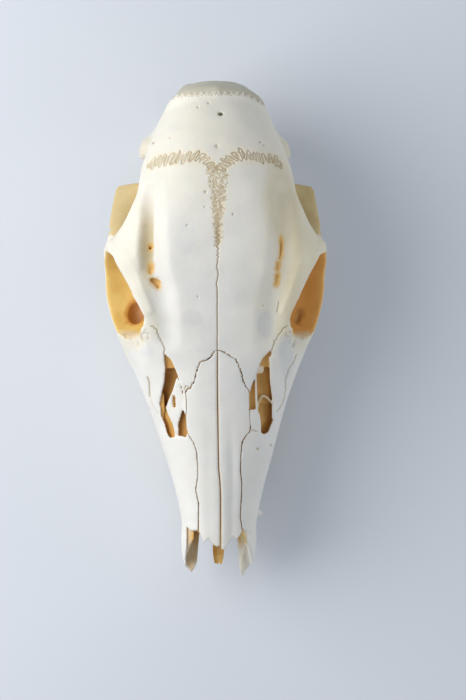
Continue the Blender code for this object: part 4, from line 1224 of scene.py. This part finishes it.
def cranium_masks(points, normals, relief):
    """Where the cranium is stained and where shade is painted on it, and how: name to a value between 0 and
    1 at each point.
    """
    x, y, z = points.T
    height = roof(x, y)
    side_x = np.abs(x)
    mirrored = np.stack([side_x, y, z], 1)
    outside = near_roof(z, height) * unit(normals[:, 2] * 4 + 0.4)
    suture = relief.at(relief.stain, x, y) * outside
    below = height - z
    orbit = near(ORBIT, mirrored, 1.2) * (z < height - 1.0)
    rim = region(side_x, y, (40.0, -5.0), (7.0, 3.6))
    hole = near(ORBIT_HOLE, points, 1.2) * (z < 62.0)
    # Painted shade on the walls of the slit in the right orbit's floor
    slit_shade = near(ORBIT_SLIT, points, 0.5) * (z < 60.0)
    arch = unit((57 - z) / 3) * (side_x > 33) * (y > 44) * (y < 72) * (z > 38)
    arch = arch * (normals[:, 2] > 0.0)
    inside = unit((below - 0.9) / 0.9) * (y < 12) * (side_x < nose_half(y) + 1.0) * (z > 20)
    inside *= unit((y + 95) / 4) * ((y < -8.4) | (below > 6.0))
    trough = np.zeros(len(points))
    for outline in PRONG_TROUGH.values():
        trough = np.maximum(trough, unit(0.6 - polygon_distance(x, y, list(outline)) / 0.8))
    trough *= (z > 24) * (below > 1.2)
    inside = inside * (1 - trough)
    pits = np.zeros(len(points))
    for line, radii in BROW_OPENINGS:
        pits = np.maximum(pits, near(sunk_strut(line, radii), points, 0.7) * (below > 0.7))
    # Painted shade: tan down the groove beside the left frontal dome, darkest along its middle, with a
    # fainter wash over the shelf beside it
    groove = near(sunk_strut(BROW_GROOVE, BROW_GROOVE_RADII), points, 3.0) * (below < 5.5)
    groove *= unit((-28.2 - x) / 0.6)
    groove = groove * np.interp(y, [22, 28, 36, 46, 54, 62], [0.2, 0.8, 1.0, 0.8, 0.4, 0.0])
    groove = groove * unit((x + 36.0) / 3.5)
    groove = np.maximum(groove, 0.45 * region(x, y, (-31.6, 38.0), (2.6, 14.0), 0.8) * (x < -28.4))
    slot = unit(1.3 - np.abs(x + 20.1) / 1.2) * unit(1.4 - np.abs(y + 32.4) / 2.4)
    slot *= unit((below - 0.8) / 0.5)
    curl = near(sunk_strut(CURL, CURL_RADII), points, 0.5) * (below < 3.4)
    inside = inside * (1 - curl)
    window = region(x, y, (14.4, -30.0), (1.6, 8.0)) * inside
    front_hole = region(x, y, (-16.0, -44.0), (2.6, 8.0)) * inside
    shelf = region(side_x, y, (21.5, -13.0), (5.0, 5.0)) * (below < 4.5)
    # Painted shade inside the openings over their brown stain: darker with depth under the roof, more on
    # the shelves and in the left front hole, less under the right window, and dark in the left orbit's
    # small hole
    dark = 0.3 + (below - 3.5) / 12 + 0.2 * front_hole + 0.25 * shelf
    dark = unit(dark) * inside * (1 - 0.6 * window)
    dark = np.maximum(dark, 0.6 * hole)
    lining = unit((below - 0.25) / 0.4) * (below < 2.6) * nasal_rim(x, y)
    amber = most([orbit * (1 - 0.75 * rim), arch * 0.2, pits * 0.85, inside * 0.95, slot * 0.7])
    amber = most([amber, 0.9 * lining, 0.95 * trough * region(x, y, (-10.6, -96.5), (2.2, 3.4))])
    amber = np.maximum(amber, 0.8 * trough * region(x, y, (9.6, -96.5), (2.6, 4.0)))
    pale = np.maximum(unit(1 - (below - 0.9) / 0.9) * inside * (y < -20), 0.7 * curl)
    orange = most([0.8 * hole, 0.75 * orbit * (x > 0) * (1 - rim), 0.5 * inside, 0.5 * window])
    stained_end = trough * region(x, y, (-10.6, -96.5), (2.2, 3.4))
    orange = most([orange, 0.35 * lining, 0.25 * trough * (x < 0), 0.3 * pits, 0.6 * stained_end])
    # Painted shade: the braincase's inner wall is coloured dark brown
    cavity = near(BRAIN_HOLLOW, mirrored, 1.5)
    valley = np.interp(y, [-6, 4, 12, 20, 30, 40, 60, 74], [24.0, 24.5, 25.5, 28.0, 30.4, 30.8, 32.4, 33.0])
    cream_and_side_shade = unit((side_x - valley) / 3.0) * unit((y + 8) / 8) * unit((78 - y) / 8)
    # Painted warm shade: the shelf's cream is fainter on the left, which faces the lamp, and a cream wash
    # over the right half of the braincase stands for its shaded side
    cream_and_side_shade = cream_and_side_shade * np.where(x < 0, 0.45, 1.0)
    shade_side = unit((x - 4) / 22) * unit((y + 20) / 20)
    rear = 0.35 * unit((y - 20) / 60)
    cream_and_side_shade = most([cream_and_side_shade, 0.55 * shade_side, 0.6 * rim, 0.9 * arch, pale, rear])
    band = unit(1 - np.abs(x) / np.interp(y, [38, 50, 72], [2.2, 3.4, 5.4]))
    band = unit(band * 3) * unit((y - 36) / 4) * unit((74 - y) / 3)
    crown = unit(1 - np.abs(y - coronal_line(x)) / 4.6) * (side_x < 32)
    warm = np.maximum(band, unit(crown * 2)) * outside
    # Painted shade: the occipital band behind the crenulated suture, which slopes down away from the light,
    # is coloured olive-grey
    teeth = 1.1 * np.abs((x / 1.5) % 1 - 0.5) + 0.5 * np.sin(2.3 * x)
    occiput_shade = unit((y - rear_line(x) - teeth) / 0.4)
    # Grey-blue patches of the bone; the ones in the lacrimal pits in front of the orbits and the long one
    # inside the right pit are painted shade in those hollows
    grey_patch_and_shade = region(x, y, (21.5, 2.5), (3.0, 5.0)) + 0.6 * region(x, y, (-11.5, 5.5), (3.6, 3.0))
    grey_patch_and_shade += 0.5 * region(x, y, (-32.0, -9.0), (3.0, 2.4)) + 0.8 * region(x, y, (31.5, -9.5), (3.0, 3.4))
    grey_patch_and_shade += 0.8 * region(x, y, (32.0, -12.0), (2.4, 7.0), 0.9)
    grey_patch_and_shade += 0.45 * region(x, y, (-14.0, 40.0), (4.0, 5.0)) + 0.35 * region(x, y, (12.0, 20.0), (5.0, 8.0))
    # Painted shade in the small hole near the top of the occiput
    hole_shade = region(x, y, (1.2, 95.9), (1.3, 1.1)) * (below > 0.3)
    tan = most([groove, 0.75 * trough * (x < 0), 0.1 * trough, 0.45 * inside * (x > 0)])
    knob = region(side_x, y, (33.0, 83.0), (3.5, 6.0)) * (z < 60)
    lump = region(x, y, (19.2, -18.0), (2.4, 2.2)) * inside
    # Painted shade: tan over the right brow's margin and the frontal behind it, which lie in shade
    right_margin_shade = 0.4 * region(x, y, (27.5, 58.0), (5.0, 12.0), 0.9)
    right_margin_shade += 0.3 * region(x, y, (32.0, 34.0), (4.0, 18.0), 0.9)
    right_margin_shade_tan = np.clip(right_margin_shade, 0, 0.45) * outside
    tan = most([tan, 0.95 * arch, 0.75 * curl, 0.45 * orbit * rim, 0.3 * knob])
    tan = most([tan, 0.5 * lump, right_margin_shade_tan])
    return {
        "suture": unit(suture),
        "amber": unit(amber),
        "orange": unit(orange),
        # Brown stain of the openings together with painted shade: their depths, the right orbit's slit and
        # the braincase's inside
        "brown_and_shade": unit(most([dark, 0.85 * slit_shade, cavity])),
        "cream_and_side_shade": unit(cream_and_side_shade * np.maximum(outside, arch) + 0.35 * (1 - outside)),
        "warm": unit(warm),
        "tan": unit(tan),
        "occiput_shade": unit(np.maximum(occiput_shade, 0.9 * hole_shade)),
        "grey_patch_and_shade": unit(grey_patch_and_shade * outside),
    }


def nasal_rim(x, y):
    """1 within half a millimetre of the nasal bones' outer edges, 0 beyond about one."""
    reach = np.where(x < 0, nasal_reach(-1, y), nasal_reach(1, y))
    return unit(1.8 - np.abs(np.abs(x) - reach) / 0.6) * (y < -9)


def nasal_reach(side, y):
    """How far a nasal bone reaches from the middle plane, as a positive length."""
    outline = sorted((p[1], abs(p[0])) for p in NASAL_OUTLINE[side])
    return np.interp(y, *np.array(outline).T)


def add_masks(mesh, masks):
    for name, values in masks.items():
        layer = mesh.attributes.new(name, "FLOAT", "POINT")
        layer.data.foreach_set("value", np.asarray(values, np.float32))


def piece(name, mesh, look, replaced):
    """Puts a finished mesh into the scene as the looks of some CAD nodes."""
    made = bpy.data.objects.new(name, mesh)
    bpy.context.scene.collection.objects.link(made)
    mesh.materials.append(look)
    mesh.shade_smooth()
    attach(made, "root")
    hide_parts(*replaced)
    return made


def leaning(points):
    moved = np.array(points, float)
    moved[:, 0] += bend(moved[:, 1])
    return moved


def build_cranium(look):
    points, faces = whole_cranium(FIELD_STEP).surface()
    points, faces = biggest_body(points, faces)
    points, faces = thinned(points, faces, CRANIUM_TRIANGLES)
    relief = draw_relief()

    fine = relief.fine.astype(np.float32)
    wide = relief.widened(LONG_EDGE).astype(np.float32)

    def wanted(middles, lengths):
        x, y, z = middles.T
        marked = np.where(lengths > LONG_EDGE, relief.at(wide, x, y), relief.at(fine, x, y))
        return ((marked > 0.1) | (lengths > LONGEST_EDGE)) & (z > roof(x, y) - 5)

    points, faces = refined(points, faces, wanted, DETAIL_EDGE)
    normals = point_normals(points, faces)
    masks = cranium_masks(points, normals, relief)
    points = carve(points, normals, relief)
    mesh = mesh_from("skull_cranium", leaning(points), faces)
    add_masks(mesh, masks)
    return piece("skull_cranium", mesh, look, ["cranium"])


def grid_faces(rows, columns):
    """Triangles of a grid of points that is stored row by row."""
    corner = (np.arange(rows - 1)[:, None] * columns + np.arange(columns - 1)[None, :]).ravel()
    quads = np.stack([corner, corner + 1, corner + columns + 1, corner + columns], 1)
    return np.concatenate([quads[:, [0, 1, 2]], quads[:, [0, 2, 3]]])


def closed_slab(top, bottom):
    """Points and triangles of a closed slab between two grids of points."""
    rows, columns = top.shape[:2]
    face = grid_faces(rows, columns)
    lower = face[:, ::-1] + rows * columns
    grid = np.arange(rows * columns).reshape(rows, columns)
    rim = np.concatenate([grid[0], grid[1:, -1], grid[-1, -2::-1], grid[-2:0:-1, 0]])
    after = np.roll(rim, -1)
    wall = np.concatenate(
        [
            np.stack([rim, rim + rows * columns, after + rows * columns], 1),
            np.stack([rim, after + rows * columns, after], 1),
        ]
    )
    points = np.concatenate([top.reshape(-1, 3), bottom.reshape(-1, 3)])
    return points, np.concatenate([face, lower, wall])


def build_nasal(side, look):
    """One nasal bone, from its notched front edge to its jagged rear one."""
    rng = np.random.default_rng(NASAL_SEED + side)
    columns = 34
    share = np.linspace(0, 1, columns)
    share = 0.5 - 0.5 * np.cos(math.pi * share)
    front = np.interp(share, *np.array(NASAL_FRONT_EDGE[side]).T)
    places = np.concatenate([np.arange(-88.0, -30.0, 0.7), np.arange(-30.0, -9.3, 0.35)])
    fan = np.linspace(0, 1, 18)[:-1]
    rows = [front + (places[0] - front) * t for t in fan] + [np.full(columns, y) for y in places]
    y = np.array(rows)
    jag = np.interp(y, places, rng.uniform(-0.32, 0.32, len(places))) * unit((y + 29) / 3)
    jag += np.interp(y, places, rng.uniform(-0.06, 0.06, len(places)))
    outer = nasal_reach(side, y) + jag
    middle = side * gap_line(y)
    half_gap = np.interp(y, [-100, -80, -60, -40, -12, -9], [0.52, 0.46, 0.40, 0.46, 0.36, 0.2])
    half_gap = half_gap + np.interp(y, places, rng.uniform(-0.06, 0.06, len(places)))
    inner = middle + half_gap
    x = inner + np.maximum(outer - inner, 0.25) * share
    top = roof(x, y)
    from_edge = np.minimum(x - inner, outer - x)
    top = top - 0.22 * np.exp(-((from_edge / 0.4) ** 2)) + 0.05
    crease = 0.85 if side > 0 else 0.2
    top -= crease * np.exp(-(((x - 5.2) / 2.0) ** 2)) * unit((-38 - y) / 22)
    thickness = 0.85 + (NASAL_THICKNESS - 0.9) * unit(from_edge / 2.2)
    thickness -= 0.3 * np.exp(-(((x - inner) / 0.8) ** 2))
    thickness *= np.interp(y, [-101, -95, -88], [0.45, 0.75, 1.0])
    surface = np.stack([side * x, y, top], 2)
    lumpy = lumps(surface.reshape(-1, 3), 9.0, NASAL_WAVE_SEED).reshape(top.shape)
    surface[..., 2] += 0.1 * lumpy * unit(from_edge / 2)
    under = surface.copy()
    under[..., 2] -= thickness
    under[..., 0] -= side * np.maximum(half_gap - 0.05, 0) * np.exp(-(((x - inner) / 1.2) ** 2))
    points, faces = closed_slab(surface, under)
    name = "skull_nasal_right" if side > 0 else "skull_nasal_left"
    mesh = mesh_from(name, leaning(points), faces)
    low = np.concatenate([np.zeros(x.size), np.ones(x.size)])
    gap_side = unit(1 - (x - inner) / 0.5)
    rim = unit(1 - (outer - x) / 0.35) * (y < -8) * (0.75 if side > 0 else 0.45)
    edge = np.maximum(0.2 * gap_side, rim).ravel()
    front_edge = unit(1 - (y - front) / 0.9).ravel() * 0.3
    zero = np.zeros(2 * x.size)
    masks = {name: zero for name in ("cream_and_side_shade", "warm", "occiput_shade", "tan")}
    masks["suture"] = np.concatenate([np.maximum(edge, front_edge), np.full(x.size, 0.25)])
    masks["amber"] = low
    masks["orange"] = 0.3 * low
    masks["brown_and_shade"] = 0.12 * low
    # Painted shade: a grey stripe down the crease of the right nasal bone
    crease_shade = 0.25 * region(side * x, y, (6.0, -86), (2.0, 14))
    masks["grey_patch_and_shade"] = np.concatenate([crease_shade.ravel(), np.zeros(x.size)])
    add_masks(mesh, masks)
    replaced = "nasal_right" if side > 0 else "nasal_left"
    return piece(name, mesh, look, [replaced])


def build_vomer(look):
    """The thin trough between the nasal tips and the prongs, chipped at its front."""
    stations = np.array([
        (-111.5, 24.6, 1.9, 1.4), (-108, 24.5, 2.4, 2.6), (-104, 24.6, 2.7, 4.0), (-95, 26.0, 2.8, 7.0),
        (-80, 27.0, 2.6, 9.0), (-50, 26.0, 2.4, 10.0),
    ])
    rng = np.random.default_rng(VOMER_SEED)
    y = np.concatenate([np.linspace(-111.5, -95, 34), np.linspace(-94, -50, 40)])
    foot, reach, height = (np.interp(y, stations[:, 0], stations[:, i])[:, None] for i in (1, 2, 3))
    u = np.sin(np.linspace(-1, 1, 21) * math.pi / 2)[None, :]
    chip = np.interp(u[0], np.linspace(-1, 1, 9), rng.uniform(0, 1.3, 9))[None, :]
    surface = np.stack(
        [
            u * reach,
            y[:, None] + chip * unit((-106 - y[:, None]) / 5),
            foot + 1.5 + height * np.abs(u) ** 2.2,
        ],
        2,
    )
    under = surface.copy()
    under[..., 2] -= 1.2
    points, faces = closed_slab(surface, under)
    mesh = mesh_from("skull_vomer", leaning(points), faces)
    return piece("skull_vomer", mesh, look, ["vomer"])


def tooth_places():
    """Name, length, breadth, lobes, middle and turn of each tooth of the right row."""
    y = TOOTH_ROW_FRONT_Y
    for name, length, breadth, lobes in TEETH:
        middle = y + length / 2
        slope = float(tooth_line(middle + 2) - tooth_line(middle - 2)) / 4
        yield name, length, breadth, lobes, (float(tooth_line(middle)), middle), math.atan(slope)
        y += length


def tooth_field(length, breadth, lobes):
    """A worn cheek tooth in its own frame: outer side +x, chewing surface at z = 0, roots up."""
    step = TOOTH_STEP
    axes = [np.arange(-12, 12.01, step), np.arange(-10, 10.01, step), np.arange(-1.5, 19, step)]
    x, y, z = axes[0][:, None, None], axes[1][None, :, None], axes[2][None, None, :]
    half_x, half_y = breadth / 2 - 0.1, length / 2 - 0.25
    taper = np.interp(z, [0, 1.6, 5, CROWN_HEIGHT, TOOTH_HEIGHT], [0.94, 1.0, 0.98, NECK_SHARE - 0.03, 0.7])
    value = np.full((len(axes[0]), len(axes[1]), len(axes[2])), 9.0)
    centres = [-half_y / 2, half_y / 2] if lobes == 2 else [0.0]
    for centre in centres:
        reach_y = (half_y / len(centres) + 0.35) * np.interp(z, [0, 4, 17], [0.94, 1.0, 0.9])
        lobe = oval_distance(x, y - centre, half_x * taper, reach_y, 2.7)
        value = np.minimum(value, lobe) - corner_fill(value, lobe, 1.2)
    for rib in [c + d for c in centres for d in (-half_y / len(centres) * 0.82, 0.0)]:
        ridge = np.sqrt((x - half_x * taper * 0.97) ** 2 + (y - rib) ** 2) - 0.75
        ridge = ridge + np.clip(z - 9, 0, 4) * 0.4
        value = np.minimum(value, ridge) - corner_fill(value, ridge, 1.0)
    wear = 0.9 * np.exp(-((x / (half_x * 0.34)) ** 2))
    for centre in centres:
        for inward in (-0.42, 0.42):
            bow = (y - centre) ** 2 / (half_y / len(centres)) ** 2
            line = x - half_x * (inward - 0.18 * (1 - bow))
            long = np.abs(y - centre) - half_y / len(centres) * 0.62
            crescent = np.maximum(np.abs(line) - 0.32, long)
            wear = wear + 1.1 * unit(0.5 - crescent / 0.5)
    value = np.maximum(value, wear - z)
    value = np.maximum(value, z - TOOTH_HEIGHT)
    return zero_surface(value, axes, step)


def build_tooth(side, place, look):
    name, length, breadth, lobes, (x, y), turn = place
    points, faces = biggest_body(*tooth_field(length, breadth, lobes))
    points, faces = thinned(points, faces, TOOTH_TRIANGLES)
    half_x = breadth / 2
    worn = unit((1.6 - points[:, 2]) / 0.5)
    pit = unit((points[:, 2] - 0.55) / 0.6) * worn
    neck = unit((points[:, 2] - 6.0) / 4.0)
    rind = worn * (1 - pit) * unit(1 - np.abs(points[:, 0]) / half_x)
    points[:, 2] -= points[:, 2].min()
    points[:, 0] *= side
    c, s = math.cos(-side * turn), math.sin(-side * turn)
    turned = np.stack([points[:, 0] * c - points[:, 1] * s, points[:, 0] * s + points[:, 1] * c], 1)
    points[:, :2] = turned + [side * x, y]
    points[:, 0] += bend(y)
    side_name = "right" if side > 0 else "left"
    mesh = mesh_from(f"skull_{name}_{side_name}", points, faces)
    add_masks(mesh, {"pit": pit, "neck": neck, "dentine": unit(rind)})
    return piece(f"skull_{name}_{side_name}", mesh, look, [f"{name}_{side_name}"])


class Shading:
    """Small helper that wires a node material round a Principled shader."""

    def __init__(self, name):
        self.material = bpy.data.materials.new(name)
        self.material.use_nodes = True
        self.nodes = self.material.node_tree.nodes
        self.links = self.material.node_tree.links
        self.shader = self.nodes["Principled BSDF"]
        place = self.nodes.new("ShaderNodeTexCoord")
        self.place = place.outputs["Object"]

    def mask(self, name):
        node = self.nodes.new("ShaderNodeAttribute")
        node.attribute_name = name
        return node.outputs["Fac"]

    def noise(self, scale, detail=3.0, roughness=0.5):
        node = self.nodes.new("ShaderNodeTexNoise")
        node.inputs["Scale"].default_value = scale
        node.inputs["Detail"].default_value = detail
        node.inputs["Roughness"].default_value = roughness
        self.links.new(self.place, node.inputs["Vector"])
        return node.outputs["Fac"]

    def ranged(self, value, low, high, to_low=0.0, to_high=1.0):
        node = self.nodes.new("ShaderNodeMapRange")
        ends = {"From Min": low, "From Max": high, "To Min": to_low, "To Max": to_high}
        for socket, number in ends.items():
            node.inputs[socket].default_value = number
        self.links.new(value, node.inputs["Value"])
        return node.outputs["Result"]

    def math(self, operation, a, b):
        node = self.nodes.new("ShaderNodeMath")
        node.operation = operation
        for socket, value in zip(node.inputs, (a, b)):
            if isinstance(value, float):
                socket.default_value = value
            else:
                self.links.new(value, socket)
        return node.outputs[0]

    def mix(self, factor, below, above):
        """A colour between two; each is a socket or an (r, g, b)."""
        node = self.nodes.new("ShaderNodeMix")
        node.data_type = "RGBA"
        node.clamp_factor = True
        for name, value in (("Factor", factor), ("A", below), ("B", above)):
            socket = next(s for s in node.inputs if s.name == name and s.enabled)
            if isinstance(value, tuple):
                socket.default_value = (*value, 1.0)
            elif isinstance(value, float):
                socket.default_value = value
            else:
                self.links.new(value, socket)
        return next(s for s in node.outputs if s.enabled)

    def bump(self, height, distance, strength=1.0):
        node = self.nodes.new("ShaderNodeBump")
        node.inputs["Distance"].default_value = distance
        node.inputs["Strength"].default_value = strength
        self.links.new(height, node.inputs["Height"])
        self.links.new(node.outputs["Normal"], self.shader.inputs["Normal"])


def bone_material():
    look = Shading("bone")
    patches = look.ranged(look.noise(55.0, 4.0), 0.35, 0.7)
    broad = look.ranged(look.noise(18.0, 2.0), 0.35, 0.65)
    specks = look.ranged(look.noise(900.0, 2.0), 0.66, 0.78)
    colour = look.mix(patches, BONE["light"], BONE["plain"])
    colour = look.mix(look.math("MULTIPLY", broad, 0.3), colour, BONE["broad"])
    clouds = look.ranged(look.noise(42.0, 3.0), 0.45, 0.72)
    colour = look.mix(look.math("MULTIPLY", clouds, 0.45), colour, BONE["clouds"])
    colour = look.mix(look.math("MULTIPLY", specks, 0.3), colour, BONE["specks"])
    # Cream of the brow shelves, arches and rear, stronger over the right half as painted warm shade
    cream_and_side_shade = look.math("MULTIPLY", look.mask("cream_and_side_shade"), look.ranged(look.noise(80.0), 0.2, 0.7, 0.55, 1.0))
    colour = look.mix(cream_and_side_shade, colour, BONE["cream_and_side_shade"])
    # Grey-blue patches, with painted shade in the lacrimal pits and down the right nasal bone's crease
    colour = look.mix(look.math("MULTIPLY", look.mask("grey_patch_and_shade"), 0.55), colour, BONE["grey_patch_and_shade"])
    warm = look.math("MULTIPLY", look.mask("warm"), look.ranged(look.noise(300.0), 0.3, 0.7, 0.3, 0.75))
    colour = look.mix(warm, colour, BONE["warm"])
    # Olive-grey painted shade on the occipital band and in the small hole over it
    colour = look.mix(look.mask("occiput_shade"), colour, BONE["occiput_shade"])
    # Tan of the broken troughs, arches and scroll, and painted shade in the left brow groove and over the
    # right brow's margin
    tan = look.mix(look.ranged(look.noise(180.0), 0.3, 0.7), BONE["light tan"], BONE["dark tan"])
    colour = look.mix(look.math("MULTIPLY", look.mask("tan"), 0.92), colour, tan)
    honey = look.mix(look.ranged(look.noise(110.0), 0.3, 0.7), BONE["honey"], BONE["dark honey"])
    colour = look.mix(look.mask("amber"), colour, honey)
    colour = look.mix(look.math("MULTIPLY", look.mask("orange"), 0.9), colour, BONE["orange"])
    # Brown stain inside the openings, which also carries painted shade in their depths, the orbit slit and
    # the braincase
    brown = look.mix(look.ranged(look.noise(140.0), 0.3, 0.7), BONE["brown"], BONE["dark brown"])
    colour = look.mix(look.mask("brown_and_shade"), colour, brown)
    colour = look.mix(look.mask("suture"), colour, BONE["suture"])
    look.links.new(colour, look.shader.inputs["Base Color"])
    rough = look.ranged(look.noise(160.0, 3.0), 0.3, 0.7, 0.42, 0.62)
    look.links.new(rough, look.shader.inputs["Roughness"])
    look.shader.inputs["IOR"].default_value = 1.5
    look.shader.inputs["Specular IOR Level"].default_value = 0.32
    look.shader.inputs["Subsurface Weight"].default_value = 0.12
    look.shader.inputs["Subsurface Radius"].default_value = (0.0022, 0.0013, 0.0007)
    look.shader.inputs["Subsurface Scale"].default_value = 1.0
    grain = look.math("ADD", look.noise(1100.0, 3.0), look.math("MULTIPLY", look.noise(220.0, 3.0), 1.6))
    look.bump(grain, 0.00012, 0.55)
    return look.material


def stained_material():
    look = Shading("stained_bone")
    mottle = look.ranged(look.noise(260.0, 4.0), 0.3, 0.7)
    colour = look.mix(mottle, (0.88, 0.60, 0.19), (0.74, 0.42, 0.10))
    pale = look.ranged(look.noise(90.0, 2.0), 0.5, 0.75, 0.0, 0.4)
    colour = look.mix(pale, colour, (0.84, 0.74, 0.48))
    look.links.new(colour, look.shader.inputs["Base Color"])
    look.shader.inputs["Roughness"].default_value = 0.5
    look.shader.inputs["Subsurface Weight"].default_value = 0.15
    look.shader.inputs["Subsurface Radius"].default_value = (0.002, 0.001, 0.0005)
    look.shader.inputs["Subsurface Scale"].default_value = 1.0
    look.bump(look.noise(800.0, 3.0), 0.00012, 0.6)
    return look.material


def tooth_material():
    look = Shading("tooth")
    patches = look.ranged(look.noise(120.0, 4.0), 0.3, 0.7)
    colour = look.mix(patches, (0.80, 0.74, 0.60), (0.70, 0.60, 0.43))
    streaks = look.ranged(look.noise(420.0, 3.0), 0.5, 0.75, 0.0, 0.6)
    colour = look.mix(streaks, colour, (0.48, 0.36, 0.20))
    colour = look.mix(look.mask("neck"), colour, (0.72, 0.66, 0.52))
    colour = look.mix(look.mask("dentine"), colour, (0.52, 0.36, 0.18))
    colour = look.mix(look.mask("pit"), colour, (0.14, 0.08, 0.04))
    look.links.new(colour, look.shader.inputs["Base Color"])
    rough = look.ranged(look.noise(300.0), 0.3, 0.7, 0.24, 0.42)
    look.links.new(rough, look.shader.inputs["Roughness"])
    look.bump(look.noise(700.0, 3.0), 0.0001, 0.5)
    return look.material


def floor_material():
    look = Shading("floor")
    tint = look.ranged(look.noise(3.0, 2.0), 0.3, 0.7)
    colour = look.mix(tint, (0.73, 0.765, 0.82), (0.75, 0.785, 0.84))
    look.links.new(colour, look.shader.inputs["Base Color"])
    look.shader.inputs["Roughness"].default_value = 0.9
    look.shader.inputs["Specular IOR Level"].default_value = 0.1
    return look.material


def build_floor():
    bpy.ops.mesh.primitive_plane_add(size=FLOOR_SIZE, location=(0, 0, FLOOR_HEIGHT))
    floor = bpy.context.object
    floor.name = "floor"
    floor.data.materials.append(floor_material())


def area_light(name, place, target, size, power, colour):
    lamp = bpy.data.lights.new(name, "AREA")
    lamp.shape = "DISK"
    lamp.size = size
    lamp.energy = power
    lamp.color = colour
    made = bpy.data.objects.new(name, lamp)
    bpy.context.scene.collection.objects.link(made)
    made.location = place
    aim = Vector(target) - Vector(place)
    made.rotation_mode = "QUATERNION"
    made.rotation_quaternion = aim.to_track_quat("-Z", "Y")
    return made


def build_lights():
    area_light(
        "window", place=(-0.56, 0.09, 0.46), target=(-0.05, 0.0, 0.03), size=0.80, power=4.9,
        colour=(1.0, 0.985, 0.955),
    )
    area_light(
        "reflector", place=(0.70, -0.05, 0.14), target=(0.0, 0.0, 0.05), size=0.40, power=1.1,
        colour=(1.0, 0.99, 0.97),
    )
    world = bpy.data.worlds.new("studio")
    world.use_nodes = True
    back = world.node_tree.nodes["Background"]
    back.inputs["Color"].default_value = (0.86, 0.915, 1.0, 1.0)
    back.inputs["Strength"].default_value = 0.44
    bpy.context.scene.world = world


def build_camera():
    """The photograph's camera. It looks down on the skull, which is rolled a little under it."""
    lens = bpy.data.cameras.new("camera")
    lens.sensor_fit = "AUTO"
    lens.sensor_width = SENSOR
    lens.lens = SENSOR * FOCAL_PIXELS / LONG_SIDE_PIXELS
    lens.clip_start = 0.05
    made = bpy.data.objects.new("camera", lens)
    bpy.context.scene.collection.objects.link(made)
    x, y, z = CAMERA_PLACE
    c, s = math.cos(SKULL_ROLL), math.sin(SKULL_ROLL)
    rise = z - ROLL_HEIGHT
    made.location = ((x * c - rise * s) * MM, y * MM, (ROLL_HEIGHT + rise * c + x * s) * MM)
    made.rotation_euler = (0.0, -SKULL_ROLL, 0.0)
    bpy.context.scene.camera = made


def main():
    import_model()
    bone = bone_material()
    build_cranium(bone)
    for side in (-1, 1):
        build_nasal(side, bone)
    build_vomer(stained_material())
    enamel = tooth_material()
    for side in (-1, 1):
        for place in tooth_places():
            build_tooth(side, place, enamel)
    build_floor()
    build_lights()
    build_camera()
    view = bpy.context.scene.view_settings
    view.view_transform = "Standard"
    view.look = "None"


main()
